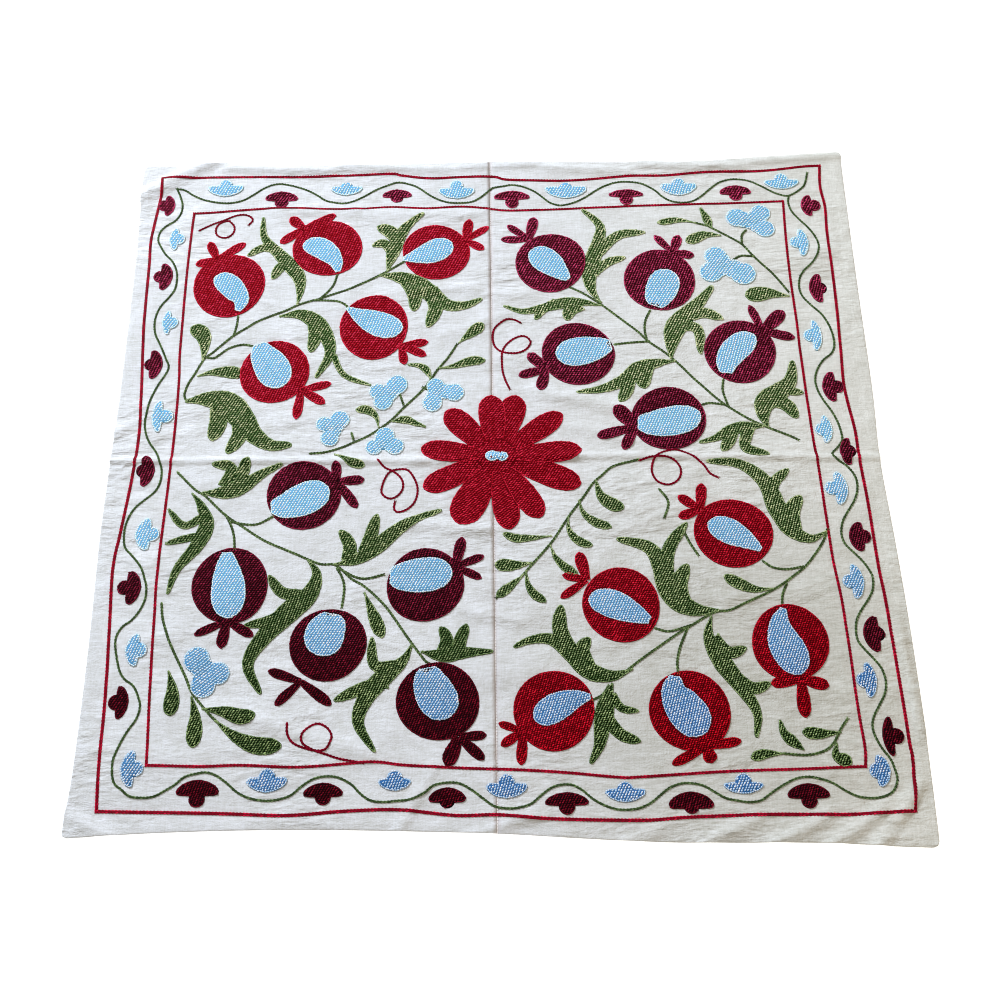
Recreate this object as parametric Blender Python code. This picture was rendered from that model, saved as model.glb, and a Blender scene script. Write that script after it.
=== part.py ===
"""A suzani: two loom widths of white cotton, seamed down the middle, lying face up.

Each width is one thin sheet with a turned hem. The soft creases of the cloth and the raised
embroidery (pomegranates, leaves, flowers, a vine border and its red lines) are in its top face.
The model is in metres. The tables below are in millimetres on the laid-out cloth, with +X to the
right, +Y to the far edge and 0, 0 where its two main creases cross.
"""

import math
from collections import namedtuple

import bmesh
import bpy
import numpy as np
from mathutils import Vector
from mathutils.geometry import delaunay_2d_cdt

MM = 0.001

# Sizes of the cloth and its stitching
CLOTH_THICK = 1.4
HEM_THICK = 2.0
EDGE_THICK = 1.1
HEM_ROUND = 2.0
HEM_WIDTH = 11.0
HEM_STEP = 2.0
CORNER_CUT = 7.0
SEAM_GAP = 0.3
SEAM_TOP_X = -4.0
SEAM_BOTTOM_X = -1.0
FILL_RAISE = 1.5
FILL_EDGE = 1.5
NARROW_TOP = 0.45
LINE_RAISE = 1.1
LINE_WIDTH = 3.2
LINE_EDGE = 1.2

# How finely each form is divided
EDGE_SPACING = 30.0
GRID_SPACING = 104.0
VINE_SPACING = 27.0
STEM_SPACING = 40.0
RED_LINE_SPACING = 100.0
FRUIT_POINTS = 18
LOBE_POINTS = 8
KNOB_POINTS = 6
TOP_BEND_STEP = 3.4
UNDER_BEND_STEP = 4.4
CLEAR_OF_STITCHES = 5.0
SPAN_PIECES = 6
SMALLEST_STEP = 0.02
SHARP_ANGLE = 25

# The cloth's outer edge, side by side, as uneven as it lies
EDGE_TOP = ((-501, 474), (-440, 472), (-382, 477), (-300, 471), (-165, 470), (0, 472), (100, 470),
            (200, 468), (280, 467), (340, 471), (400, 474), (500, 480))
EDGE_RIGHT = ((500, 480), (499, 400), (498, 250), (498, 100), (495, 0), (499, -100), (502, -200),
              (503, -300), (502, -400), (500, -488))
EDGE_BOTTOM = ((500, -488), (454, -486), (365, -481), (209, -479), (109, -474), (20, -468),
               (-47, -465), (-180, -461), (-283, -460), (-400, -462), (-502, -467))
EDGE_LEFT = ((-502, -467), (-498, -400), (-497, -300), (-498, -200), (-500, -100), (-499, 0),
             (-497, 100), (-498, 300), (-502, 430), (-501, 474))

# Soft ridges where the cloth lifts off the surface: crest ends, height and half width
Fold = namedtuple("Fold", "x0 y0 x1 y1 height half_width")
MARGIN_FOLDS = (
    Fold(-520, 408, -385, 492, 4.6, 18),
    Fold(-372, 466, -235, 459, 3.4, 13),
    Fold(-212, 466, -70, 458, 3.0, 12),
    Fold(-40, 462, 60, 466, 2.4, 11),
    Fold(80, 459, 190, 452, 2.8, 11),
    Fold(215, 464, 345, 456, 3.4, 12),
    Fold(380, 466, 520, 474, 3.2, 12),
    Fold(-112, -458, -76, -396, 2.0, 11),
    Fold(-46, -474, 44, -446, 2.2, 11),
    Fold(122, -490, 190, -462, 2.6, 12),
    Fold(202, -496, 288, -458, 3.4, 13),
    Fold(276, -500, 368, -456, 4.0, 13),
    Fold(350, -502, 440, -446, 4.4, 13),
    Fold(416, -504, 482, -424, 4.2, 13),
    Fold(497, -352, 488, -232, 3.0, 12),
    Fold(-520, 42, -482, 58, 2.8, 11),
    Fold(-520, -430, -440, -470, 2.6, 13),
)
FIELD_FOLDS = (
    Fold(-520, 7, -95, 1, 2.6, 15),
    Fold(-95, 1, 100, 5, 2.4, 16),
    Fold(100, 5, 520, -3, 2.4, 15),
    Fold(-305, 392, -198, 388, 2.2, 10),
    Fold(-190, 386, -20, 378, 2.0, 13),
    Fold(-150, 252, -30, 262, 2.6, 13),
    Fold(-25, 254, 48, 246, 2.6, 12),
    Fold(-60, 190, 10, 214, 2.0, 12),
    Fold(62, 98, 172, 70, 3.4, 15),
    Fold(108, 46, 172, 26, 2.6, 12),
    Fold(-112, -86, -14, -94, 3.0, 13),
    Fold(-40, -200, 26, -216, 2.4, 12),
    Fold(-330, -322, -160, -372, 3.0, 18),
)

# Half widths along a stitched blade, as a share of its greatest: place along it, share
PROFILES = {
    "leaf": ((0.0, 0.10), (0.12, 0.45), (0.36, 1.0), (0.62, 0.72), (0.84, 0.36), (1.0, 0.12)),
    "finger": ((0.0, 0.95), (0.30, 1.0), (0.60, 0.86), (0.85, 0.58), (1.0, 0.22)),
    "club": ((0.0, 0.12), (0.25, 0.42), (0.55, 0.86), (0.80, 1.0), (0.94, 0.72), (1.0, 0.30)),
    "sepal": ((0.0, 0.42), (0.35, 0.86), (0.68, 1.0), (0.90, 0.74), (1.0, 0.32)),
    "petal": ((0.0, 0.16), (0.30, 0.46), (0.58, 0.86), (0.80, 1.0), (0.94, 0.70), (1.0, 0.30)),
}

# A pomegranate: centre, width and height, the foot of its crown and its three sepal tips
Fruit = namedtuple("Fruit", "x y width height crown sepals")
SEPAL_WIDTH = 14.5
FRUITS = (
    Fruit(-364, 269, 98, 100, (-384, 312), ((-397, 341), (-346, 338), (-413, 303))),
    Fruit(-231, 328, 96, 92, (-266, 363), ((-286, 381), (-222, 382), (-297, 338))),
    Fruit(-79, 319, 94, 88, (-39, 340), ((-33, 371), (-6, 358), (-14, 322))),
    Fruit(-162, 200, 94, 98, (-124, 168), ((-89, 176), (-91, 157), (-120, 142))),
    Fruit(-293, 134, 92, 94, (-259, 105), ((-218, 117), (-222, 86), (-261, 62))),
    Fruit(79, 299, 97, 95, (50, 340), ((58, 374), (20, 361), (11, 338))),
    Fruit(228, 269, 96, 99, (249, 316), ((225, 340), (259, 340), (278, 307))),
    Fruit(112, 155, 98, 93, (67, 132), ((44, 156), (32, 123), (60, 101))),
    Fruit(329, 155, 97, 94, (363, 188), ((347, 225), (392, 216), (406, 176))),
    Fruit(227, 57, 97, 92, (180, 44), ((155, 76), (132, 31), (160, 10))),
    Fruit(-245, -45, 94, 95, (-202, -26), ((-205, 2), (-168, -24), (-174, -63))),
    Fruit(-330, -165, 96, 98, (-330, -214), ((-369, -227), (-335, -245), (-298, -229))),
    Fruit(-88, -167, 97, 94, (-48, -140), ((-42, -106), (-15, -131), (-17, -160))),
    Fruit(-205, -242, 93, 92, (-237, -290), ((-275, -273), (-263, -316), (-198, -317))),
    Fruit(-71, -313, 99, 95, (-45, -356), ((-13, -352), (-16, -383), (-60, -388))),
    Fruit(298, -104, 98, 93, (257, -72), ((263, -38), (232, -54), (231, -80))),
    Fruit(153, -196, 96, 95, (110, -161), ((104, -127), (82, -154), (81, -183))),
    Fruit(355, -246, 94, 95, (363, -296), ((330, -302), (364, -337), (395, -303))),
    Fruit(67, -326, 95, 98, (25, -350), ((2, -342), (6, -366), (27, -388))),
    Fruit(228, -328, 96, 97, (243, -374), ((285, -365), (203, -390), (249, -388))),
)

# The middle rosette: its small round heart and the eleven petal tips about it
ROSETTE_HEART = (2, 6)
HEART_SIZE = (28, 22)
PETAL_ROOT = 0.17
PETAL_WIDTH = 36.0
PETAL_TIPS = ((-6, 94), (30, 92), (92, 66), (113, 12), (108, -38), (56, -80), (18, -96), (-56, -86),
              (-92, -40), (-96, 19), (-66, 74))

# A large leaf: the line through its middle from root to tip, and its side fingers
Leaf = namedtuple("Leaf", "width spine fingers")
Finger = namedtuple("Finger", "width spine")
LEAVES = (
    Leaf(23, ((-267, 238), (-263, 262), (-268, 285), (-288, 312), (-313, 340), (-324, 380)),
         (Finger(16, ((-266, 280), (-288, 293), (-306, 280))),
          Finger(13, ((-292, 318), (-316, 327), (-342, 317))))),
    Leaf(21, ((-293, 219), (-262, 220), (-236, 210), (-221, 188), (-220, 158), (-238, 123)),
         (Finger(16, ((-246, 212), (-241, 190), (-247, 163))),
          Finger(6, ((-213, 172), (-200, 130), (-164, 110))))),
    Leaf(31, ((-409, 91), (-378, 98), (-349, 93), (-331, 68), (-308, 42), (-264, 27)),
         (Finger(19, ((-368, 90), (-363, 60), (-370, 34))),
          Finger(17, ((-343, 78), (-334, 45), (-347, 14))))),
    Leaf(19, ((-146, 291), (-139, 312), (-134, 340), (-124, 366), (-96, 382)),
         (Finger(16, ((-136, 336), (-147, 357), (-162, 362))),
          Finger(13, ((-139, 313), (-150, 330), (-168, 332))))),
    Leaf(23, ((-158, 283), (-125, 279), (-97, 262), (-75, 243), (-50, 232), (-18, 244)),
         (Finger(15, ((-117, 270), (-106, 248), (-110, 222))),
          Finger(18, ((-88, 258), (-80, 232), (-88, 199))))),
    Leaf(24, ((146, 238), (134, 262), (133, 290), (145, 325), (151, 352), (124, 386)),
         (Finger(15, ((140, 308), (168, 333), (213, 347))),
          Finger(13, ((136, 280), (155, 303), (183, 305))))),
    Leaf(14, ((146, 229), (122, 234), (94, 233), (62, 226), (13, 229)),
         (Finger(14, ((98, 233), (72, 221), (56, 207))),
          Finger(15, ((126, 233), (106, 222), (100, 206))))),
    Leaf(28, ((233, 150), (235, 180), (252, 205), (275, 228), (299, 257)),
         (Finger(17, ((260, 212), (288, 213), (309, 206))),
          Finger(13, ((243, 192), (270, 186), (278, 152))))),
    Leaf(17, ((243, 142), (212, 141), (184, 130), (150, 107), (108, 99)),
         (Finger(14, ((181, 128), (171, 108), (163, 82))),
          Finger(17, ((206, 135), (195, 118), (203, 102))))),
    Leaf(24, ((356, 42), (349, 66), (356, 86), (380, 101), (395, 120), (398, 141)),
         (Finger(12, ((360, 88), (385, 93), (405, 91))),
          Finger(15, ((358, 78), (380, 72), (397, 55))))),
    Leaf(17, ((349, 43), (325, 44), (300, 40), (263, 23)),
         (Finger(15, ((311, 42), (302, 24), (296, 7))),
          Finger(14, ((330, 42), (326, 14), (355, 4))))),
    Leaf(22, ((-376, -39), (-345, -38), (-316, -22), (-296, -5), (-274, 0)),
         (Finger(15, ((-336, -32), (-325, -10), (-319, 10))),
          Finger(14, ((-350, -34), (-345, -8), (-366, -1))))),
    Leaf(21, ((-388, -40), (-370, -60), (-366, -88), (-388, -122), (-405, -150), (-408, -172)),
         (Finger(9, ((-368, -82), (-392, -82), (-417, -61))),
          Finger(12, ((-368, -92), (-392, -100), (-417, -109))))),
    Leaf(24, ((-235, -132), (-226, -158), (-240, -188), (-272, -222), (-300, -262), (-284, -301)),
         (Finger(12, ((-238, -178), (-262, -176), (-281, -154))),
          Finger(13, ((-245, -198), (-278, -208), (-308, -218))))),
    Leaf(20, ((-204, -138), (-178, -133), (-150, -116), (-118, -90), (-69, -69)),
         (Finger(15, ((-166, -124), (-158, -98), (-149, -74))),
          Finger(14, ((-184, -132), (-182, -108), (-196, -91))))),
    Leaf(17, ((-92, -252), (-68, -256), (-42, -254), (-4, -253)),
         (Finger(13, ((-52, -254), (-44, -236), (-37, -217))),
          Finger(13, ((-66, -254), (-62, -238), (-69, -220))))),
    Leaf(22, ((-105, -242), (-108, -258), (-130, -284), (-156, -312), (-164, -338), (-145, -372)),
         (Finger(13, ((-138, -290), (-165, -298), (-195, -311))),
          Finger(10, ((-120, -270), (-143, -268), (-151, -236))))),
    Leaf(26, ((412, -112), (385, -108), (362, -85), (350, -52), (328, -18), (271, -5)),
         (Finger(12, ((354, -58), (360, -35), (377, -17))),
          Finger(16, ((377, -98), (376, -72), (386, -54))))),
    Leaf(28, ((271, -206), (242, -203), (216, -182), (205, -148), (188, -124), (151, -109)),
         (Finger(14, ((210, -148), (217, -118), (240, -90))),
          Finger(17, ((226, -192), (228, -168), (237, -146))))),
    Leaf(24, ((263, -212), (256, -236), (266, -264), (287, -292), (304, -325), (304, -360)),
         (Finger(14, ((260, -240), (280, -256), (302, -253))),
          Finger(13, ((286, -294), (306, -301), (328, -297))))),
    Leaf(24, ((160, -277), (128, -287), (98, -275), (78, -248), (52, -239), (14, -247)),
         (Finger(16, ((90, -266), (80, -225), (78, -194))),
          Finger(16, ((110, -282), (106, -256), (112, -237))))),
    Leaf(20, ((139, -294), (131, -315), (127, -345), (122, -370), (109, -391)),
         (Finger(6, ((132, -310), (145, -324), (160, -328))),
          Finger(13, ((129, -333), (146, -356), (168, -363))))),
)

# Small leaves: how they swell, their width and the line from stem to tip
Small = namedtuple("Small", "profile width spine")
SMALL_LEAVES = (
    Small("club", 23, ((-390, 150), (-390, 176), (-403, 207))),
    Small("finger", 16, ((-338, 131), (-362, 137), (-395, 128))),
    Small("club", 17, ((-163, -177), (-151, -205), (-141, -235))),
    Small("club", 15, ((343, -179), (315, -177), (284, -164))),
    Small("club", 21, ((-49, 173), (-32, 188), (-16, 200))),
    Small("club", 15, ((-67, 137), (-42, 143), (-12, 146))),
    Small("leaf", 11, ((-88, 118), (-94, 134), (-115, 142))),
    Small("club", 13, ((-152, 50), (-156, 70), (-182, 76))),
    Small("leaf", 12, ((-136, 57), (-113, 56), (-89, 49))),
    Small("club", 15, ((-208, 12), (-192, 5), (-168, -4))),
    Small("club", 10, ((290, 357), (262, 364), (230, 362))),
    Small("leaf", 12, ((307, 352), (301, 368), (292, 387))),
    Small("club", 16, ((320, 339), (292, 341), (269, 331))),
    Small("club", 23, ((402, 241), (372, 249), (341, 240))),
    Small("club", 20, ((-396, -272), (-388, -300), (-389, -328))),
    Small("club", 21, ((-364, -302), (-357, -335), (-357, -366))),
    Small("club", 20, ((-349, -319), (-318, -327), (-288, -329))),
    Small("club", 21, ((-330, -342), (-300, -357), (-255, -362))),
    Small("leaf", 17, ((129, -28), (133, -50), (159, -66))),
    Small("leaf", 12, ((107, -58), (113, -80), (144, -92))),
    Small("leaf", 12, ((93, -78), (97, -106), (119, -118))),
    Small("leaf", 11, ((68, -120), (78, -137), (98, -152))),
    Small("club", 12, ((70, -104), (40, -107), (11, -101))),
    Small("club", 17, ((46, -140), (22, -142), (-2, -141))),
    Small("club", 12, ((36, -150), (18, -165), (-1, -182))),
    Small("club", 11, ((38, -155), (44, -172), (59, -188))),
    Small("club", 14, ((333, -380), (312, -380), (296, -383))),
    Small("leaf", 14, ((360, -379), (344, -366), (335, -342))),
    Small("club", 15, ((399, -355), (380, -357), (358, -355))),
    Small("club", 18, ((396, -369), (396, -384), (410, -391))),
)

# Three-lobed flowers: their middle, and each lobe's centre, width and height
Flower = namedtuple("Flower", "middle lobes")
FLOWERS = (
    Flower((-140, 101), ((-126, 117, 27, 29), (-153, 104, 24, 18), (-143, 88, 31, 21))),
    Flower((-72, 100), ((-53, 99, 29, 23), (-83, 84, 27, 26), (-77, 110, 22, 22))),
    Flower((-146, 28), ((-143, 38, 26, 22), (-128, 21, 26, 20), (-159, 21, 21, 23))),
    Flower((-207, 50), ((-220, 54, 23, 21), (-196, 62, 27, 29), (-211, 34, 31, 21))),
    Flower((357, 360), ((341, 372, 29, 31), (378, 376, 31, 28), (379, 347, 33, 26))),
    Flower((321, 290), ((310, 309, 37, 23), (299, 275, 36, 23), (346, 277, 33, 36))),
    Flower((-356, -277), ((-365, -256, 31, 27), (-335, -275, 30, 23), (-351, -296, 34, 23))),
)

# Border buds in order round the cloth: where the two points of its crescent are centred, which
# way its knob stands, and where the vine passes behind it (y on the long runs, x on the sides)
Bud = namedtuple("Bud", "x y knob vine")
BUD_SPAN = 47.0
BUD_DEPTH = 13.5
KNOB_RADIUS = 9.0
KNOB_OUT = 5.0
TOP_BUDS = (
    Bud(-382, 431, "up", 407), Bud(-302, 411, "down", 438), Bud(-208, 431, "up", 404),
    Bud(-137, 413, "down", 437), Bud(-51, 423, "up", 400), Bud(26, 408, "down", 430),
    Bud(104, 424, "up", 395), Bud(186, 407, "down", 433), Bud(265, 424, "up", 397),
    Bud(343, 410, "down", 433), Bud(412, 430, "up", 406),
)
RIGHT_BUDS = (
    Bud(447, 388, "right", 417), Bud(426, 326, "left", 452), Bud(446, 252, "right", 418),
    Bud(430, 178, "left", 454), Bud(447, 101, "right", 424), Bud(427, 39, "left", 449),
    Bud(455, 6, "right", 436), Bud(436, -44, "left", 462), Bud(458, -111, "right", 432),
    Bud(441, -170, "left", 465), Bud(460, -237, "right", 436), Bud(442, -294, "left", 463),
    Bud(463, -361, "right", 441), Bud(442, -402, "left", 462),
)
BOTTOM_BUDS = (
    Bud(358, -428, "down", -407), Bud(284, -414, "up", -435), Bud(222, -435, "down", -413),
    Bud(146, -421, "up", -443), Bud(79, -434, "down", -413), Bud(10, -414, "up", -439),
    Bud(-58, -427, "down", -409), Bud(-120, -405, "up", -430), Bud(-202, -421, "down", -401),
    Bud(-270, -403, "up", -427), Bud(-349, -418, "down", -394),
)
LEFT_BUDS = (
    Bud(-428, -388, "right", -450), Bud(-452, -310, "left", -426), Bud(-438, -246, "right", -465),
    Bud(-455, -166, "left", -433), Bud(-439, -96, "right", -468), Bud(-453, -8, "left", -429),
    Bud(-439, 70, "right", -458), Bud(-460, 148, "left", -435), Bud(-439, 212, "right", -461),
    Bud(-458, 286, "left", -437), Bud(-441, 347, "right", -471), Bud(-461, 404, "left", -440),
)
VINE_CORNERS = {"top": (442, 424), "right": (425, -432), "bottom": (-428, -420), "left": (-450, 431)}
KNOB_WAYS = {"up": (0, 1), "down": (0, -1), "left": (-1, 0), "right": (1, 0)}

# The two red border lines, corner to corner, as unsteady as they are stitched
RED_LINES = (
    ((-473, 450), (-300, 451), (-170, 452), (-60, 445), (35, 439), (165, 441), (330, 448), (468, 456)),
    ((468, 456), (466, 300), (463, 175), (465, 90), (471, -60), (473, -170), (481, -342), (479, -448)),
    ((479, -448), (367, -449), (263, -451), (140, -454), (0, -447), (-120, -441), (-289, -443),
     (-463, -437)),
    ((-463, -437), (-469, -239), (-476, -110), (-470, 0), (-470, 120), (-477, 250), (-479, 350),
     (-473, 450)),
    ((-423, 390), (-330, 395), (-200, 392), (-130, 394), (-50, 394), (20, 388), (120, 387),
     (220, 391), (408, 397)),
    ((408, 397), (406, 280), (410, 160), (415, 0), (419, -120), (426, -300), (427, -396)),
    ((427, -396), (263, -402), (153, -405), (0, -396), (-110, -390), (-200, -386), (-411, -385)),
    ((-411, -385), (-417, -250), (-422, -120), (-418, 20), (-421, 140), (-424, 300), (-423, 390)),
)

# Branches and flower stalks
STEMS = (
    ((-411, 97), (-402, 127), (-352, 190), (-283, 229), (-227, 249), (-165, 278), (-124, 305)),
    ((-347, 222), (-349, 200), (-356, 187)),
    ((-385, 157), (-358, 170), (-323, 174)),
    ((-216, 285), (-222, 262), (-238, 247)),
    ((-245, 242), (-215, 241), (-200, 231)),
    ((104, 259), (147, 230), (201, 182), (277, 110), (311, 75), (353, 44), (394, 25)),
    ((212, 220), (203, 196), (204, 178)),
    ((162, 167), (206, 173)),
    ((273, 77), (304, 75)),
    ((302, 113), (301, 92), (308, 76)),
    ((-409, -11), (-344, -72), (-240, -128), (-199, -142), (-158, -170), (-116, -225), (-85, -267)),
    ((-344, -72), (-316, -85), (-284, -77)),
    ((-340, -77), (-330, -95), (-328, -117)),
    ((-199, -144), (-188, -165), (-190, -196)),
    ((-190, -144), (-165, -157), (-135, -154)),
    ((415, -101), (380, -152), (332, -183), (263, -211), (215, -239), (160, -277)),
    ((333, -142), (352, -152), (383, -151)),
    ((358, -171), (351, -198)),
    ((236, -227), (192, -227)),
    ((227, -238), (217, -256), (215, -281)),
    ((130, -302), (113, -314)),
    ((-240, 13), (-185, 27), (-144, 54), (-102, 92), (-75, 134), (-49, 173)),
    ((-119, 78), (-125, 95)),
    ((-183, 32), (-187, 46)),
    ((285, 358), (329, 337), (363, 303), (404, 247)),
    ((347, 325), (353, 347)),
    ((362, 304), (332, 300)),
    ((-413, -187), (-392, -259), (-361, -314), (-328, -343)),
    ((165, -6), (129, -26), (102, -66), (62, -119), (36, -152)),
    ((329, -381), (383, -376), (413, -338)),
    ((209, -44), (219, -62), (213, -83)),
    ((236, -100), (254, -133)),
)

Stitched = namedtuple("Stitched", "outline crest crest_closed raise_mm edge")


def smooth(points, closed=False):
    """Points along the soft curve through the given ones (a Catmull-Rom spline)."""
    points = [Vector(p) for p in points]
    count = len(points)
    spans = count if closed else count - 1
    curve = []
    for i in range(spans):
        if closed:
            a, b, c, d = (points[(i + k) % count] for k in (-1, 0, 1, 2))
        else:
            b, c = points[i], points[i + 1]
            a = points[i - 1] if i else b * 2 - c
            d = points[i + 2] if i + 2 < count else c * 2 - b
        for k in range(SPAN_PIECES):
            t = k / SPAN_PIECES
            curve.append(0.5 * (2 * b + (c - a) * t + (2 * a - 5 * b + 4 * c - d) * t ** 2
                                + (3 * b - a - 3 * c + d) * t ** 3))
    if not closed:
        curve.append(points[-1])
    return curve


def spaced(points, spacing, closed=False):
    """The same line with its points at about this spacing, ends kept."""
    points = np.array([tuple(p) for p in points] + ([tuple(points[0])] if closed else []))
    run = np.concatenate([[0], np.cumsum(np.hypot(*np.diff(points, axis=0).T))])
    pieces = max(2, round(run[-1] / spacing))
    at = np.linspace(0, run[-1], pieces + 1)
    line = np.stack([np.interp(at, run, points[:, 0]), np.interp(at, run, points[:, 1])], axis=1)
    return line[:-1] if closed else line


def sideways(line, closed=False):
    """The unit direction to the left of a line at each of its points."""
    if closed:
        ahead = np.roll(line, -1, axis=0) - np.roll(line, 1, axis=0)
    else:
        ahead = np.gradient(line, axis=0)
    ahead /= np.hypot(*ahead.T)[:, None]
    return np.stack([-ahead[:, 1], ahead[:, 0]], axis=1)


def blade(spine, width, profile, stations):
    """A leaf, finger, sepal or petal: an outline that swells along its spine, and its top edge."""
    line = spaced(smooth(spine), 1.0)
    places = np.linspace(0, len(line) - 1, stations).round().astype(int)
    half = np.interp(np.linspace(0, 1, stations), *zip(*PROFILES[profile])) * width / 2
    left, middle = sideways(line)[places], line[places]
    loops = []
    for reach, part in ((half, slice(None)),
                        (np.maximum(half - FILL_EDGE, half * NARROW_TOP), slice(1, -1))):
        side = (left * reach[:, None])[part]
        loops.append(np.concatenate([middle[part] + side, (middle[part] - side)[::-1]]))
    return Stitched(*loops, True, FILL_RAISE, FILL_EDGE)


def oval(x, y, width, height, count):
    """A round fill, with a ring just inside its edge where it reaches its full height."""
    turn = np.linspace(0, 2 * math.pi, count, endpoint=False)
    ring = np.stack([np.cos(turn), np.sin(turn)], axis=1) / 2
    foot = np.array((x, y)) + ring * (width, height)
    top = np.array((x, y)) + ring * (width - 2.2 * FILL_EDGE, height - 2.2 * FILL_EDGE)
    return Stitched(foot, top, True, FILL_RAISE, FILL_EDGE)


def strip(line):
    """A line of chain stitch: a low rib with its crest along the middle."""
    left = sideways(line) * LINE_WIDTH / 2
    outline = np.concatenate([line + left, (line - left)[::-1]])
    return Stitched(outline, line, False, LINE_RAISE, LINE_EDGE)


def pomegranates():
    for fruit in FRUITS:
        yield oval(fruit.x, fruit.y, fruit.width, fruit.height, FRUIT_POINTS)
        for tip in fruit.sepals:
            yield blade((fruit.crown, tip), SEPAL_WIDTH, "sepal", 4)


def rosette():
    yield oval(*ROSETTE_HEART, *HEART_SIZE, LOBE_POINTS)
    for tip in PETAL_TIPS:
        root = np.array(ROSETTE_HEART) * (1 - PETAL_ROOT) + np.array(tip) * PETAL_ROOT
        yield blade((root, tip), PETAL_WIDTH, "petal", 7)


def leaves():
    for leaf in LEAVES:
        yield blade(leaf.spine, leaf.width, "leaf", 7)
        for finger in leaf.fingers:
            yield blade(finger.spine, finger.width, "finger", 4)
    for small in SMALL_LEAVES:
        yield blade(small.spine, small.width, small.profile, 4)


def flowers():
    for flower in FLOWERS:
        for x, y, width, height in flower.lobes:
            inward = (np.array(flower.middle) - (x, y)) * 0.3
            yield oval(x + inward[0], y + inward[1], width + 4, height + 4, LOBE_POINTS)


def border_buds():
    for bud in TOP_BUDS + RIGHT_BUDS + BOTTOM_BUDS + LEFT_BUDS:
        out = np.array(KNOB_WAYS[bud.knob], float)
        across = np.array((-out[1], out[0]))
        place = np.linspace(-1, 1, 5)
        back = -BUD_DEPTH * (1 - place ** 2)
        outer = (bud.x, bud.y) + across * (place * BUD_SPAN / 2)[:, None] + out * back[:, None]
        inner = (bud.x, bud.y) + across * np.array([[0.3], [-0.3]]) * BUD_SPAN
        top = np.concatenate([outer[1:4] + out * FILL_EDGE, inner * 0.86 + outer[[3, 1]] * 0.14])
        yield Stitched(np.concatenate([outer, inner]), top, True, FILL_RAISE, FILL_EDGE)
        knob = (bud.x, bud.y) + out * KNOB_OUT
        yield oval(*knob, 2 * KNOB_RADIUS, 2 * KNOB_RADIUS, KNOB_POINTS)


def vine():
    """One wave that passes behind every bud, round all four sides."""
    points = [(bud.x, bud.vine) for bud in TOP_BUDS] + [VINE_CORNERS["top"]]
    points += [(bud.vine, bud.y) for bud in RIGHT_BUDS] + [VINE_CORNERS["right"]]
    points += [(bud.x, bud.vine) for bud in BOTTOM_BUDS] + [VINE_CORNERS["bottom"]]
    points += [(bud.vine, bud.y) for bud in LEFT_BUDS] + [VINE_CORNERS["left"]]
    line = spaced(smooth(points, closed=True), VINE_SPACING, closed=True)
    yield strip(line)


def stitched_lines():
    for points in RED_LINES:
        yield strip(spaced(smooth(points), RED_LINE_SPACING))
    for points in STEMS:
        yield strip(spaced(smooth(points), STEM_SPACING))


def cloth_edge():
    """The whole cloth's outline, with each corner cut to a soft one."""
    loop = []
    for side in (EDGE_TOP, EDGE_RIGHT, EDGE_BOTTOM, EDGE_LEFT):
        line = spaced(smooth(side), EDGE_SPACING)
        start = line[0] + (line[1] - line[0]) * CORNER_CUT / EDGE_SPACING
        end = line[-1] + (line[-2] - line[-1]) * CORNER_CUT / EDGE_SPACING
        loop += [start, *line[1:-1], end]
    return np.array(loop)[::-1]


def inset(loop, distance):
    """A loop that runs inside an anticlockwise one at this distance."""
    return loop + sideways(loop, closed=True) * distance


def distance_inside(points, loop):
    """How far each point lies inside a closed loop, or 0 outside it."""
    depth = np.zeros(len(points))
    low, high = loop.min(axis=0), loop.max(axis=0)
    near = np.flatnonzero(((points >= low) & (points <= high)).all(axis=1))
    if not len(near):
        return depth
    p = points[near][:, None, :]
    a, b = loop[None], np.roll(loop, -1, axis=0)[None]
    step = b - a
    share = np.clip(((p - a) * step).sum(axis=2) / (step ** 2).sum(axis=2), 0, 1)
    gap = np.hypot(*np.moveaxis(p - a - step * share[..., None], 2, 0)).min(axis=1)
    rises = (a[..., 1] > p[..., 1]) != (b[..., 1] > p[..., 1])
    height = np.where(step[..., 1] == 0, 1, step[..., 1])
    crossing = a[..., 0] + (p[..., 1] - a[..., 1]) * step[..., 0] / height
    inside = ((rises & (p[..., 0] < crossing)).sum(axis=1) % 2) == 1
    depth[near] = np.where(inside, gap, 0)
    return depth


def lift(points):
    """How far the creases hold the cloth above the surface at each point."""
    total = np.zeros(len(points))
    for fold in MARGIN_FOLDS + FIELD_FOLDS:
        start = np.array((fold.x0, fold.y0), float)
        run = np.array((fold.x1, fold.y1)) - start
        length = math.hypot(*run)
        run /= length
        along = (points - start) @ run
        across = (points - start) @ (-run[1], run[0])
        beyond = np.maximum(0, np.maximum(-along, along - length)) / (2 * fold.half_width)
        slope = np.abs(across) / fold.half_width
        swell = [0.5 * (1 + np.cos(math.pi * np.minimum(1, u))) for u in (slope, beyond)]
        total += fold.height * swell[0] * swell[1]
    return total


def thickness(points, edge):
    """The cloth's thickness: rounded at the edge, double in the hem, single inside it."""
    depth = distance_inside(points, edge)
    steps = (0, HEM_ROUND, HEM_WIDTH, HEM_WIDTH + HEM_STEP)
    return np.interp(depth, steps, (EDGE_THICK, HEM_THICK, HEM_THICK, CLOTH_THICK))


def stitch_height(points, stitched):
    """How far the embroidery stands proud of the cloth at each point."""
    height = np.zeros(len(points))
    for form in stitched:
        depth = distance_inside(points, form.outline)
        rise = 1 - np.clip(depth / form.edge, 0, 1)
        height = np.maximum(height, form.raise_mm * np.sqrt(1 - rise ** 2))
    return height


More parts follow.
